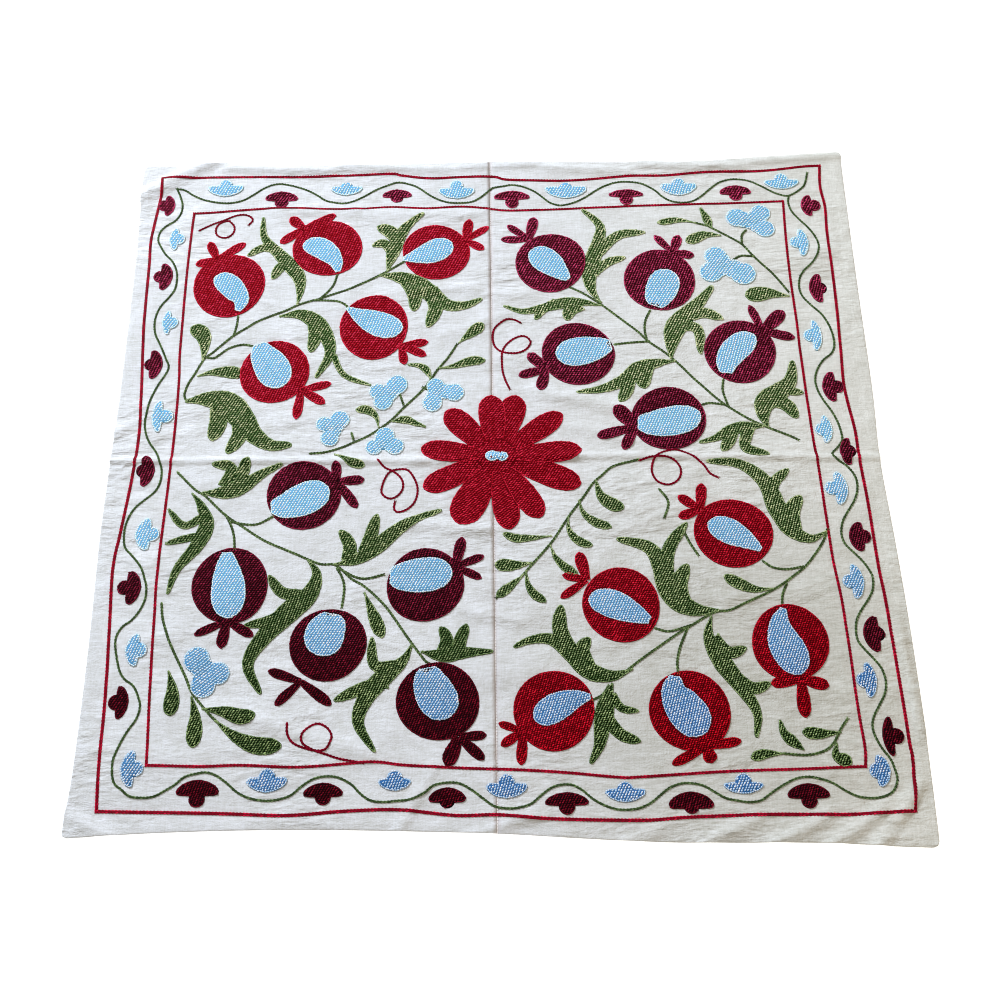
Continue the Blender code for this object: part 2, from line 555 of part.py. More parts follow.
def panel_edge(edge, side):
    """The part of the cloth's outline on one side of the seam, closed along it."""
    seam_top, seam_bottom = SEAM_TOP_X + side * SEAM_GAP / 2, SEAM_BOTTOM_X + side * SEAM_GAP / 2
    top_y = np.interp(seam_top, *zip(*EDGE_TOP))
    bottom_y = np.interp(seam_bottom, *zip(*EDGE_BOTTOM[::-1]))
    seam = spaced(((seam_bottom, bottom_y), (seam_top, top_y)), EDGE_SPACING)
    clear = HEM_WIDTH
    kept = [p for p in edge if side * (p[0] - seam_top) > clear]
    first = next(i for i in range(len(kept)) if math.dist(kept[i], kept[i - 1]) > 3 * EDGE_SPACING)
    kept = kept[first:] + kept[:first]
    return np.concatenate([kept, seam if side < 0 else seam[::-1]])


def fold_lines(folds, shares, spacing):
    """Lines along the creases, so that the sheet bends where they do: crest, flanks or feet."""
    for fold in folds:
        start, end = np.array((fold.x0, fold.y0), float), np.array((fold.x1, fold.y1), float)
        length = math.dist(start, end)
        run = (end - start) / length
        across = np.array((-run[1], run[0]))
        stations = max(2, round(length / (spacing * fold.half_width)))
        at = np.linspace(-fold.half_width, length + fold.half_width, stations + 1)
        for share in shares:
            yield start + run * at[:, None] + across * share * fold.half_width


def grid_points(loop):
    low, high = loop.min(axis=0), loop.max(axis=0)
    counts = ((high - low) / GRID_SPACING).astype(int) + 1
    for x in np.linspace(low[0], high[0], counts[0]):
        for y in np.linspace(low[1], high[1], counts[1]):
            yield np.array((x, y))


def spread(points, loop, taken):
    """The points that lie well inside the loop, apart from each other and from those taken."""
    points = np.array(list(points))
    points = points[distance_inside(points, loop) > CLEAR_OF_STITCHES]
    held = list(taken)
    free = []
    for point in points:
        if np.hypot(*(np.array(held) - point).T).min() > CLEAR_OF_STITCHES:
            held.append(point)
            free.append(point)
    return free


def triangles(loop, lines, free):
    """The triangles of a panel's area that keep every given line as edges."""
    points, edges = [Vector(p) for p in loop], []
    for line, closed in lines:
        first = len(points)
        points += [Vector(p) for p in line]
        edges += [(first + i, first + i + 1) for i in range(len(line) - 1)]
        if closed:
            edges.append((len(points) - 1, first))
    points += [Vector(p) for p in free]
    flat, _, faces, _, _, owners = delaunay_2d_cdt(points, edges, [range(len(loop))], 0, SMALLEST_STEP)
    return np.array([tuple(p) for p in flat]), [f for f, own in zip(faces, owners) if own]


def rim(faces):
    """The points round a patch of triangles, in order."""
    steps = {(f[i], f[(i + 1) % 3]) for f in faces for i in range(3)}
    after = {a: b for a, b in steps if (b, a) not in steps}
    first = min(after)
    order = [first]
    while after[order[-1]] != first:
        order.append(after[order[-1]])
    return order


def panel(name, side, edge, stitched, centre):
    """One loom width: a closed sheet between its embroidered face and its underside."""
    loop = panel_edge(edge, side)
    near = [form for form in stitched if (side * (form.outline[:, 0] + 3)).max() > -SEAM_GAP]
    lines = [(form.outline, True) for form in near]
    lines += [(form.crest, form.crest_closed) for form in near]
    lines += [(inset(edge, d), True) for d in (HEM_ROUND, HEM_WIDTH, HEM_WIDTH + HEM_STEP)]
    lines += [(line, False) for line in fold_lines(MARGIN_FOLDS, (-0.9, 0, 0.9), TOP_BEND_STEP)]
    lines += [(line, False) for line in fold_lines(FIELD_FOLDS, (0,), TOP_BEND_STEP)]
    taken = np.concatenate([loop] + [line for line, _ in lines])
    flanks = fold_lines(FIELD_FOLDS, (-0.8, 0.8), TOP_BEND_STEP)
    bends = [point for line in flanks for point in line]
    free = spread(bends + list(grid_points(loop)), loop, taken)
    flat, top_faces = triangles(loop, lines, free)
    border = rim(top_faces)
    under = fold_lines(MARGIN_FOLDS + FIELD_FOLDS, (0, -0.9, 0.9), UNDER_BEND_STEP)
    bends = [point for line in under for point in line]
    below = spread(bends + list(grid_points(loop)), loop, flat[border])
    low_flat, low_faces = triangles(flat[border], [], below)

    floor_top = lift(flat)
    top_z = floor_top + thickness(flat, edge) + stitch_height(flat, near)
    mesh = bmesh.new()
    high = [mesh.verts.new(((p[0] - centre[0]) * MM, (p[1] - centre[1]) * MM, z * MM))
            for p, z in zip(flat, top_z)]
    low = [mesh.verts.new(((p[0] - centre[0]) * MM, (p[1] - centre[1]) * MM, z * MM))
           for p, z in zip(low_flat, lift(low_flat))]
    for face in top_faces:
        mesh.faces.new([high[i] for i in face])
    for face in low_faces:
        mesh.faces.new([low[i] for i in reversed(face)])
    for i, vertex in enumerate(border):
        after = (i + 1) % len(border)
        mesh.faces.new((high[border[after]], high[vertex], low[i], low[after]))
    loose = [v for v in mesh.verts if not v.link_faces]
    bmesh.ops.delete(mesh, geom=loose, context="VERTS")
    bmesh.ops.recalc_face_normals(mesh, faces=mesh.faces)
    data = bpy.data.meshes.new(name)
    mesh.to_mesh(data)
    mesh.free()
    data.shade_smooth()
    data.set_sharp_from_angle(angle=math.radians(SHARP_ANGLE))
    return bpy.data.objects.new(name, data)


def cotton(name, colour):
    """Plain-woven cotton: matt, a little uneven in colour from width to width."""
    material = bpy.data.materials.new(name)
    material.use_nodes = True
    surface = material.node_tree.nodes["Principled BSDF"]
    surface.inputs["Base Color"].default_value = (*colour, 1)
    surface.inputs["Roughness"].default_value = 0.9
    surface.inputs["Metallic"].default_value = 0.0
    return material


def main():
    for obj in list(bpy.data.objects):
        bpy.data.objects.remove(obj)
    cloth = bpy.data.collections.new("suzani")
    bpy.context.scene.collection.children.link(cloth)

    edge = cloth_edge()
    centre = (edge.min(axis=0) + edge.max(axis=0)) / 2
    stitched = [form for forms in (pomegranates, rosette, leaves, flowers, border_buds, vine,
                                   stitched_lines) for form in forms()]
    for name, side, colour in (("panel_left", -1, (0.80, 0.82, 0.84)),
                               ("panel_right", 1, (0.76, 0.77, 0.74))):
        width = panel(name, side, edge, stitched, centre)
        width.data.materials.append(cotton(name + "_cotton", colour))
        cloth.objects.link(width)


main()
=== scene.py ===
# %% [markdown]
# # A suzani in thread and cotton
# A suzani is a cover of white cotton worked all over with dyed thread. This one is two loom
# widths seamed down the middle, lying face up. We dress the imported model in three layers: a fine
# sheet of cotton for each width, soft pads where a motif is filled, and then thousands of small
# stitches laid over the pads in slanting rows.
# We start by loading the model.

# %% Load the imported cloth
import math
from collections import namedtuple

import bmesh
import bpy
import numpy as np
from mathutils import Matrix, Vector, noise
from mathutils.geometry import delaunay_2d_cdt


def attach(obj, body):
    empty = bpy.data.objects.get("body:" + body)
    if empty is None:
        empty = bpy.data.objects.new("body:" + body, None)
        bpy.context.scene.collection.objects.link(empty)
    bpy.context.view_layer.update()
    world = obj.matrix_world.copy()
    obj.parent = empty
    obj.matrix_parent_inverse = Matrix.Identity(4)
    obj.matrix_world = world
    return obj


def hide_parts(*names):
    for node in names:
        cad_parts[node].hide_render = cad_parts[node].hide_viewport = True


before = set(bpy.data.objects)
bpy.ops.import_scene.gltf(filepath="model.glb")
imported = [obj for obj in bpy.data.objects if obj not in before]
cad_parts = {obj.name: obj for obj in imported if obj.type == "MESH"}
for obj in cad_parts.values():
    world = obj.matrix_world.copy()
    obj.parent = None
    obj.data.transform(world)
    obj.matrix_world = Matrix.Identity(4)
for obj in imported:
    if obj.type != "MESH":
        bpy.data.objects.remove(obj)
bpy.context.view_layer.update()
MM = 0.001

# %% [markdown]
# # The outline of the cloth
# The cloth is nearly square but no edge is quite straight. Each side is a short table of points in
# millimetres, measured from the crossing of the two main creases, and a soft curve joins them.
# The soft ridges where it lifts off the surface are a table too: the two ends of a crest, how high
# it stands and how far it reaches to each side. All tables are plain rows of numbers, which three
# small helpers read.

# %% Read the tables
def xy(text):
    """Points from a row of numbers, x and y in turn."""
    return np.array(text.split(), float).reshape(-1, 2)


def xy_lines(text):
    """Lines of points; a semicolon ends each line."""
    return [xy(line) for line in text.split(";")]


def table(text):
    """Rows of numbers; a semicolon ends a row, and bars divide it into parts."""
    return [[np.array(part.split(), float) for part in row.split("|")] for row in text.split(";")]


# %% Tables of the cloth's edge and its creases
EDGE_TOP = xy("""-501 474 -440 472 -382 477 -300 471 -165 470 0 472 100 470 200 468 280 467
    340 471 400 474 500 480""")
EDGE_RIGHT = xy("""500 480 499 400 498 250 498 100 495 0 499 -100 502 -200 503 -300 502 -400
    500 -488""")
EDGE_BOTTOM = xy("""500 -488 454 -486 365 -481 209 -479 109 -474 20 -468 -47 -465 -180 -461
    -283 -460 -400 -462 -502 -467""")
EDGE_LEFT = xy("""-502 -467 -498 -400 -497 -300 -498 -200 -500 -100 -499 0 -497 100 -498 300
    -502 430 -501 474""")
SEAM_TOP_X = -4.0
SEAM_BOTTOM_X = -1.0

Fold = namedtuple("Fold", "x0 y0 x1 y1 height half_width")
FOLDS = [Fold(*row) for row, in table("""
    -520 408 -385 492 4.6 18; -372 466 -235 459 3.4 13; -212 466 -70 458 3 12;
    -40 462 60 466 2.4 11; 80 459 190 452 2.8 11; 215 464 345 456 3.4 12; 380 466 520 474 3.2 12;
    -112 -458 -76 -396 2 11; -46 -474 44 -446 2.2 11; 122 -490 190 -462 2.6 12;
    202 -496 288 -458 3.4 13; 276 -500 368 -456 4 13; 350 -502 440 -446 4.4 13;
    416 -504 482 -424 4.2 13; 497 -352 488 -232 3 12; -520 42 -482 58 2.8 11;
    -520 -430 -440 -470 2.6 13; -520 7 -95 1 2.6 8.5; -95 1 100 5 2.4 12; 100 5 520 -3 2.4 8.5;
    -305 392 -198 388 2.2 10; -190 386 -20 378 2 13; -150 252 -30 262 2.6 13;
    -25 254 48 246 2.6 12; -60 190 10 214 2 12; 62 98 172 70 3.4 15; 108 46 172 26 2.6 12;
    -112 -86 -14 -94 3 13; -40 -200 26 -216 2.4 12; -330 -322 -160 -372 3 18
""")]
CLOTH_THICK, HEM_THICK, EDGE_THICK = 1.4, 1.8, 1.1
HEM_ROUND, HEM_WIDTH, HEM_STEP = 2.0, 10.0, 5.0
print(len(FOLDS), "soft ridges in the cloth")


# %% Curves: a soft line through points, its even spacing and its sideways direction
CURVE_PIECES = 6


def smooth(points):
    """Points along the soft curve that runs through the given ones."""
    points = [Vector(p) for p in points]
    curve = []
    for i in range(len(points) - 1):
        b, c = points[i], points[i + 1]
        a = points[i - 1] if i else b * 2 - c
        d = points[i + 2] if i + 2 < len(points) else c * 2 - b
        for t in (k / CURVE_PIECES for k in range(CURVE_PIECES)):
            curve.append(0.5 * (2 * b + (c - a) * t + (2 * a - 5 * b + 4 * c - d) * t ** 2
                                + (3 * b - a - 3 * c + d) * t ** 3))
    return curve + [points[-1]]


def spaced(points, spacing, closed=False):
    """The same line with its points at about this spacing."""
    points = np.array([tuple(p) for p in points] + ([tuple(points[0])] if closed else []), float)
    run = np.concatenate([[0], np.cumsum(np.hypot(*np.diff(points, axis=0).T))])
    at = np.linspace(0, run[-1], max(2, round(run[-1] / spacing)) + 1)
    line = np.stack([np.interp(at, run, points[:, 0]), np.interp(at, run, points[:, 1])], axis=1)
    return line[:-1] if closed else line


def sideways(line, closed=False):
    """The unit direction to the left of a line at each of its points."""
    if closed:
        ahead = np.roll(line, -1, axis=0) - np.roll(line, 1, axis=0)
    else:
        ahead = np.gradient(line, axis=0)
    ahead = ahead / np.hypot(*ahead.T)[:, None]
    return np.stack([-ahead[:, 1], ahead[:, 0]], axis=1)


def heading_of(left):
    """The direction a line runs in, in degrees, from the direction to its left."""
    return np.degrees(np.arctan2(-left[:, 0], left[:, 1]))


FAR_OUTSIDE = 6.0
MOST_AT_ONCE = 2_000_000


def depth_inside(points, loop):
    """How far each point lies inside a closed loop; below 0 outside it, down to -FAR_OUTSIDE."""
    depth = np.full(len(points), -FAR_OUTSIDE)
    low, high = loop.min(axis=0) - FAR_OUTSIDE, loop.max(axis=0) + FAR_OUTSIDE
    near = np.flatnonzero(((points >= low) & (points <= high)).all(axis=1))
    for block in np.array_split(near, max(1, len(near) * len(loop) // MOST_AT_ONCE)):
        p = points[block][:, None, :]
        a, b = loop[None], np.roll(loop, -1, axis=0)[None]
        step = b - a
        share = np.clip(((p - a) * step).sum(axis=2) / (step ** 2).sum(axis=2), 0, 1)
        gap = np.hypot(*np.moveaxis(p - a - step * share[..., None], 2, 0)).min(axis=1)
        rises = (a[..., 1] > p[..., 1]) != (b[..., 1] > p[..., 1])
        height = np.where(step[..., 1] == 0, 1, step[..., 1])
        crossing = a[..., 0] + (p[..., 1] - a[..., 1]) * step[..., 0] / height
        inside = ((rises & (p[..., 0] < crossing)).sum(axis=1) % 2) == 1
        depth[block] = np.where(inside, gap, -gap)
    return depth


EDGE_STEP = 30
all_edge = np.concatenate([spaced(smooth(side), EDGE_STEP)
                           for side in (EDGE_TOP, EDGE_RIGHT, EDGE_BOTTOM, EDGE_LEFT)])
CENTRE = (all_edge.min(axis=0) + all_edge.max(axis=0)) / 2
print("middle of the outline, mm:", CENTRE.round(2))


# %% How high the cloth lies at any point
WRINKLE_HEIGHT = 2.03
WRINKLES = ((0.9, 95, 62, 0.5), (0.45, 44, 30, 4.5))
WRINKLES_FROM = -0.35
FLAT_SIDE, FLAT_END, FLAT_FADE = 497, 470, 22


def bumps(points, share, wide, deep, layer):
    """Soft noise, so many millimetres wide and deep, with its share of the height."""
    return np.array([share * noise.noise((x / wide, y / deep, layer)) for x, y in points])


def wrinkles(points):
    """Broad soft wrinkles that washed cotton keeps, up to about two millimetres high."""
    broad = sum(bumps(points, *kind) for kind in WRINKLES)
    x, y = np.abs(points).T
    flat_edge = np.clip((FLAT_SIDE - x) / FLAT_FADE, 0, 1)
    flat_edge *= np.clip((FLAT_END - y) / FLAT_FADE, 0, 1)
    return np.maximum(0, broad - WRINKLES_FROM) * WRINKLE_HEIGHT * flat_edge


def lift(points):
    """How far the creases and wrinkles hold the cloth above the surface, in millimetres."""
    total = wrinkles(points)
    for fold in FOLDS:
        start = np.array((fold.x0, fold.y0), float)
        run = np.array((fold.x1, fold.y1)) - start
        length = math.hypot(*run)
        run = run / length
        along = (points - start) @ run
        across = (points - start) @ (-run[1], run[0])
        beyond = np.maximum(0, np.maximum(-along, along - length)) / (2 * fold.half_width)
        swell = [0.5 * (1 + np.cos(math.pi * np.minimum(1, u)))
                 for u in (np.abs(across) / fold.half_width, beyond)]
        total += fold.height * swell[0] * swell[1]
    return total

# %% [markdown]
# # The camera, the light and the floor
# The picture looks down on the cloth from just beyond its near edge, tilted about 22 degrees, so
# the far edge looks a little shorter than the near one. A bright, cool window lamp at the upper
# left gives the soft shading across the weave, a faint warm one stands at the near right, and a
# pale floor and sky fill the rest.


# %% Colours, nodes and new objects
def hex_colour(code):
    """A linear colour from an sRGB hex value such as "#A21125"."""
    values = [int(code[i:i + 2], 16) / 255 for i in (1, 3, 5)]
    return (*[v / 12.92 if v <= 0.04045 else ((v + 0.055) / 1.055) ** 2.4 for v in values], 1.0)


def add_node(tree, kind, settings=None, **links):
    """Adds a node, sets its properties, and links or fills its inputs by name."""
    node = tree.nodes.new(kind)
    for name, value in (settings or {}).items():
        setattr(node, name, value)
    for name, value in links.items():
        number = name[1:] if name[0] == "i" else ""
        slot = node.inputs[int(number) if number.isdigit() else name.replace("_", " ")]
        if isinstance(value, bpy.types.NodeSocket):
            tree.links.new(value, slot)
        else:
            slot.default_value = value
    return node


def put(name, data):
    """A new object in the scene."""
    made = bpy.data.objects.new(name, data)
    bpy.context.collection.objects.link(made)
    return made


def triangles(mesh):
    return sum(len(face.vertices) - 2 for face in mesh.polygons)


def finished(name, mesh, material=None):
    """A finished mesh, softly shaded, as an object of the scene."""
    mesh.shade_smooth()
    if material:
        mesh.materials.append(material)
    print(name, "has", triangles(mesh), "triangles")
    return put(name, mesh)


def new_material(name, roughness, shine):
    """A material with its tree and its shader; shine is the shader's specular level."""
    material = bpy.data.materials.new(name)
    material.use_nodes = True
    surface = material.node_tree.nodes["Principled BSDF"]
    surface.inputs["Roughness"].default_value = roughness
    surface.inputs["Specular IOR Level"].default_value = shine
    return material, material.node_tree, surface


# %% Camera, lamps and floor
CAMERA_PLACE = (0.016, -0.636, 1.414)
CAMERA_TURN = (22.36, 0.65, -0.56)
LENS, FILM_WIDTH = 43.2, 36
SKY_COLOUR, SKY_STRENGTH = "#FCFCFA", 0.31
FLOOR_REACH, FLOOR_LEVEL = 4, -0.0004


def lamp(name, place, size, watts, colour):
    """A square lamp that shines on the middle of the cloth."""
    data = bpy.data.lights.new(name, "AREA")
    data.size, data.energy, data.color = size, watts, hex_colour(colour)[:3]
    light = put(name, data)
    light.location = place
    light.rotation_euler = (-Vector(place)).to_track_quat("-Z", "Y").to_euler()


view = put("camera", bpy.data.cameras.new("camera"))
view.location = np.array(CAMERA_PLACE) - (*CENTRE * MM, 0)
view.rotation_euler = [math.radians(angle) for angle in CAMERA_TURN]
view.data.lens, view.data.sensor_width = LENS, FILM_WIDTH
bpy.context.scene.camera = view

lamp("window_light", (-2.2, 2.7, 2.3), 0.9, 214, "#E9F1FF")
lamp("room_light", (1.8, -1.2, 1.6), 1.4, 12, "#FFE4C4")
sky = bpy.data.worlds.new("pale_sky")
sky.use_nodes = True
light_of_sky = sky.node_tree.nodes["Background"].inputs
light_of_sky["Color"].default_value = hex_colour(SKY_COLOUR)
light_of_sky["Strength"].default_value = SKY_STRENGTH
bpy.context.scene.world = sky
bpy.context.scene.view_settings.view_transform = "Standard"
bpy.context.scene.cycles.filter_width = 1.0

floor_mesh = bpy.data.meshes.new("floor")
floor_mesh.from_pydata([(x * FLOOR_REACH, y * FLOOR_REACH, FLOOR_LEVEL)
                        for x, y in ((-1, -1), (1, -1), (1, 1), (-1, 1))], [], [(0, 1, 2, 3)])
paper, _, paper_surface = new_material("white_paper_floor", 0.9, 0.5)
paper_surface.inputs["Base Color"].default_value = hex_colour("#FAFAFA")
paper_surface.inputs["Emission Color"].default_value = (1, 1, 1, 1)
paper_surface.inputs["Emission Strength"].default_value = 0.7
floor_mesh.materials.append(paper)
put("floor", floor_mesh)
print("camera at", [round(v, 3) for v in view.location])

# %% [markdown]
# # The cotton
# Hand-loomed cotton is matt, off-white and a little uneven, with threads that cross every
# millimetre. A thread is too fine to show in the picture, so the weave is drawn at two millimetres,
# only as a faint unevenness of tone and height. The cloth's tone is yellower to the right, in a
# painted warm light, and duller near the right corner, in painted shade. Crinkles a few centimetres
# apart run over it on four slants. Near the seam it is a touch rosier, where the sewing thread
# shows through.


# %% Plain-woven cotton
YARN_RUNS = (((0.12, 1, 1), 0.84), ((1, 0.16, 1), 0.5))
# The middle of a painted shade that dulls the cloth towards the near right corner.
PAINTED_SHADE_CENTRE = (0.30, -0.29, 0)
CRINKLES = ((0.12, 0.3, 44, 0.0012), (-0.6, 0.3, 24, 0.0014),
            (0.95, 0.35, 20, 0.0014), (-0.45, 0.45, 11, 0.0045))


def cotton(name, pale, warm_lit_pale, dull):
    """Matt cotton, yellower to the right in painted warm light and duller to the near right in
    painted shade, with slubs and crinkles.
    """
    material, tree, surface = new_material(name, 0.92, 0.15)
    place = add_node(tree, "ShaderNodeTexCoord").outputs["Object"]
    mottle = add_node(tree, "ShaderNodeTexNoise", Vector=place, Scale=30, Detail=3)
    uneven = add_node(tree, "ShaderNodeMath", {"operation": "MULTIPLY"},
                      i0=mottle.outputs["Fac"], i1=0.4)
    for stretch, much in YARN_RUNS:
        run = add_node(tree, "ShaderNodeMapping", Vector=place, Scale=stretch)
        yarns = add_node(tree, "ShaderNodeTexNoise", Vector=run.outputs[0], Scale=520,
                         Detail=3)
        uneven = add_node(tree, "ShaderNodeMath", {"operation": "MULTIPLY_ADD"},
                          i0=yarns.outputs["Fac"], i1=much, i2=uneven.outputs[0])
    # Painted shade: the tone is pulled towards the dull one within about 0.36 m of that middle.
    from_shade_centre = add_node(tree, "ShaderNodeVectorMath", {"operation": "DISTANCE"},
                       i0=place, i1=PAINTED_SHADE_CENTRE).outputs["Value"]
    painted_corner_shade = add_node(tree, "ShaderNodeMapRange", {"interpolation_type": "SMOOTHSTEP"}, Value=from_shade_centre,
                    From_Min=0.06, From_Max=0.36, To_Min=-0.34, To_Max=0.0)
    both = add_node(tree, "ShaderNodeMath", {"operation": "ADD"}, i0=uneven.outputs[0],
                    i1=painted_corner_shade.outputs[0])
    share = add_node(tree, "ShaderNodeMapRange", Value=both.outputs[0], From_Min=0.12,
                     From_Max=1.35)
    # Painted light: a warm light tints the cloth towards a yellower pale from the middle to the
    # right edge.
    rightward = add_node(tree, "ShaderNodeSeparateXYZ", Vector=place).outputs["X"]
    warm_light_share = add_node(tree, "ShaderNodeMapRange", Value=rightward, From_Min=0.0, From_Max=0.5)
    paler = add_node(tree, "ShaderNodeMix", {"data_type": "RGBA"},
                     Factor=warm_light_share.outputs[0], i6=hex_colour(pale), i7=hex_colour(warm_lit_pale))
    # The dull tone serves both the cloth's random mottle and the painted shade near the right
    # corner.
    tone = add_node(tree, "ShaderNodeMix", {"data_type": "RGBA"},
                    Factor=share.outputs[0], i6=hex_colour(dull), i7=paler.outputs[2])
    seam = add_node(tree, "ShaderNodeAttribute", {"attribute_name": "seam_near"})
    rosy = add_node(tree, "ShaderNodeMix", {"data_type": "RGBA"},
                    Factor=seam.outputs["Fac"], i6=tone.outputs[2], i7=hex_colour("#C8BAB4"))
    tree.links.new(rosy.outputs[2], surface.inputs["Base Color"])
    weave = add_node(tree, "ShaderNodeTexNoise", Vector=place, Scale=480, Detail=2)
    threads = add_node(tree, "ShaderNodeBump", Strength=0.8, Distance=0.0007,
                       Height=weave.outputs["Fac"])
    wrinkle = add_node(tree, "ShaderNodeTexNoise", Vector=place, Scale=42, Detail=7,
                       Roughness=0.68)
    normal = add_node(tree, "ShaderNodeBump", Strength=0.45, Distance=0.004,
                      Height=wrinkle.outputs["Fac"], Normal=threads.outputs["Normal"]).outputs[0]
    patches = add_node(tree, "ShaderNodeTexNoise", Vector=place, Scale=5, Detail=1)
    patchy = add_node(tree, "ShaderNodeMapRange", Value=patches.outputs["Fac"], From_Min=0.4,
                      From_Max=0.62, To_Min=0.14, To_Max=0.62)
    for turned, narrow, scale, deep in CRINKLES:
        slanted = add_node(tree, "ShaderNodeMapping", Vector=place, Rotation=(0, 0, turned),
                           Scale=(narrow, 1.0, 1.0))
        crinkle = add_node(tree, "ShaderNodeTexNoise", Vector=slanted.outputs[0], Scale=scale,
                           Detail=4, Roughness=0.6, Distortion=0.4)
        sharp = add_node(tree, "ShaderNodeMapRange", Value=crinkle.outputs["Fac"],
                         From_Min=0.46, From_Max=0.62)
        normal = add_node(tree, "ShaderNodeBump", Strength=patchy.outputs[0], Distance=deep,
                          Height=sharp.outputs[0], Normal=normal).outputs[0]
    tree.links.new(normal, surface.inputs["Normal"])
    return material


# The second pale is the cloth in painted warm light at the right; the last tone is its mottle and
# painted shade.
white_cotton = cotton("plain_woven_cotton", "#F9FBFF", "#FBFAF1", "#B4B2A2")

# %% [markdown]
# # The two loom widths
# Each width is a net of points between its selvedge at the seam and its turned hem. Near the hem
# the net is fine, because the cloth doubles over there and its edge is round. Elsewhere a point
# about every five and a half millimetres follows the soft ridges, and along the old fold across
# the middle there is a row every two. The underside is the same net, lower by the thickness, so
# the sheet is closed.


# %% A sheet of cotton from seam to hem
SIDE_STEP = 4


def side_curve(side, axis):
    line = spaced(smooth(side), SIDE_STEP)
    return line[np.argsort(line[:, axis])]


TOP, BOTTOM = side_curve(EDGE_TOP, 0), side_curve(EDGE_BOTTOM, 0)
LEFT, RIGHT = side_curve(EDGE_LEFT, 1), side_curve(EDGE_RIGHT, 1)
SHEET_LENGTH, SHEET_WIDTH = 950.0, 498.0
HEM_LINES = (0, 0.5, 1.2, 2.2, 4, 6.5, 9, 10.6, 11.8, 13, 15)
NET_SPACING = 5.4
CORNER_ROUND, CORNER_PULL = 7.0, 0.30
OLD_FOLD_ROW, OLD_FOLD_CLEAR, OLD_FOLD_SPACING = 477.0, 16, 2.0
SEAM_GAP, SEAM_REACH, SEAM_SHARE, SEAM_SINK = 0.15, 3.2, 0.6, 0.5
FINE_WRINKLES = (0.16, 17, 12, 7.5)
CALM_EDGE = 12


def net_lines(length, both_hems):
    """Distances across the sheet: close together in each hem, even in between."""
    first = list(HEM_LINES)
    last = [length - d for d in HEM_LINES[::-1]] if both_hems else [length]
    start, end = first[-1], last[0]
    count = round((end - start) / NET_SPACING)
    return np.array(first + list(np.linspace(start, end, count + 1)[1:-1]) + last)


def net_rows():
    """The rows of the net from the near hem to the far one, finer along the old fold."""
    rows = net_lines(SHEET_LENGTH, True)
    reach = OLD_FOLD_CLEAR - OLD_FOLD_SPACING
    fold_rows = OLD_FOLD_ROW + np.arange(-reach, reach + 1, OLD_FOLD_SPACING)
    rows = rows[np.abs(rows - OLD_FOLD_ROW) > OLD_FOLD_CLEAR]
    return np.sort(np.concatenate([rows, fold_rows])) / SHEET_LENGTH


def hem_profile(depth):
    """The cloth's thickness at this depth from its edge, rounded where it turns over."""
    turn = np.sqrt(np.clip(1 - (1 - np.clip(depth / HEM_ROUND, 0, 1)) ** 2, 0, 1))
    doubled = EDGE_THICK + (HEM_THICK - EDGE_THICK) * turn
    return np.where(depth < HEM_WIDTH, doubled,
                    np.interp(depth, (HEM_WIDTH, HEM_WIDTH + HEM_STEP), (HEM_THICK, CLOTH_THICK)))


def sheet_net(side):
    """The net's points, how deep each lies from the hem, and how near the seam."""
    outer = LEFT if side < 0 else RIGHT
    columns = net_lines(SHEET_WIDTH, False) / SHEET_WIDTH
    points, depths, seam = [], [], []
    for v in net_rows():
        y_guess = BOTTOM[:, 1].mean() * (1 - v) + TOP[:, 1].mean() * v
        x_out = np.interp(y_guess, outer[:, 1], outer[:, 0])
        x_seam = SEAM_BOTTOM_X * (1 - v) + SEAM_TOP_X * v + side * SEAM_GAP
        x = x_out + (x_seam - x_out) * columns
        y = np.interp(x, *BOTTOM.T) * (1 - v) + np.interp(x, *TOP.T) * v
        near, far, out = v * SHEET_LENGTH, (1 - v) * SHEET_LENGTH, columns * SHEET_WIDTH
        end = np.minimum(near, far)
        pull = np.maximum(0, CORNER_ROUND - end) * np.maximum(0, CORNER_ROUND - out) / CORNER_ROUND
        x = x - side * pull * CORNER_PULL
        y = y + (1 if near < far else -1) * pull * CORNER_PULL
        points.append(np.stack([x, y], axis=1))
        depths.append(np.minimum(end, out))
        seam.append(np.clip(1 - np.abs(x - x_seam) / SEAM_REACH, 0, 1) * SEAM_SHARE)
    return np.concatenate(points), np.concatenate(depths), np.concatenate(seam), len(columns)


def net_faces(tall, wide):
    """Faces over and under a net, and a wall round it; all point outwards on the left width."""
    count = tall * wide
    faces = []
    for a in (r * wide + c for r in range(tall - 1) for c in range(wide - 1)):
        quad = (a, a + 1, a + wide + 1, a + wide)
        faces += [quad, tuple(i + count for i in quad[::-1])]
    grid = np.arange(count).reshape(tall, wide)
    ring = [int(i) for i in (*grid[0], *grid[1:, -1], *grid[-1, -2::-1], *grid[-2:0:-1, 0])]
    return faces + [(a, a + count, b + count, b) for a, b in zip(ring, ring[1:] + ring[:1])]


def sheet(name, side):
    """One loom width; side is -1 for the left one and +1 for the right."""
    flat, depth, seam, wide = sheet_net(side)
    under = lift(flat)
    calm = np.clip(depth / CALM_EDGE, 0, 1)
    over = under + hem_profile(depth) + bumps(flat, *FINE_WRINKLES) * calm
    over -= seam * SEAM_SINK
    place = (flat - CENTRE) * MM
    verts = np.concatenate([np.column_stack([place, height * MM]) for height in (over, under)])
    faces = net_faces(len(flat) // wide, wide)
    mesh = bpy.data.meshes.new(name)
    mesh.from_pydata(verts.tolist(), [], faces if side < 0 else [face[::-1] for face in faces])
    mesh.attributes.new("seam_near", "FLOAT", "POINT").data.foreach_set(
        "value", np.concatenate([seam, seam]).astype(np.float32))
    return finished(name, mesh, white_cotton)


cloth_left, cloth_right = sheet("cloth_left", -1), sheet("cloth_right", 1)

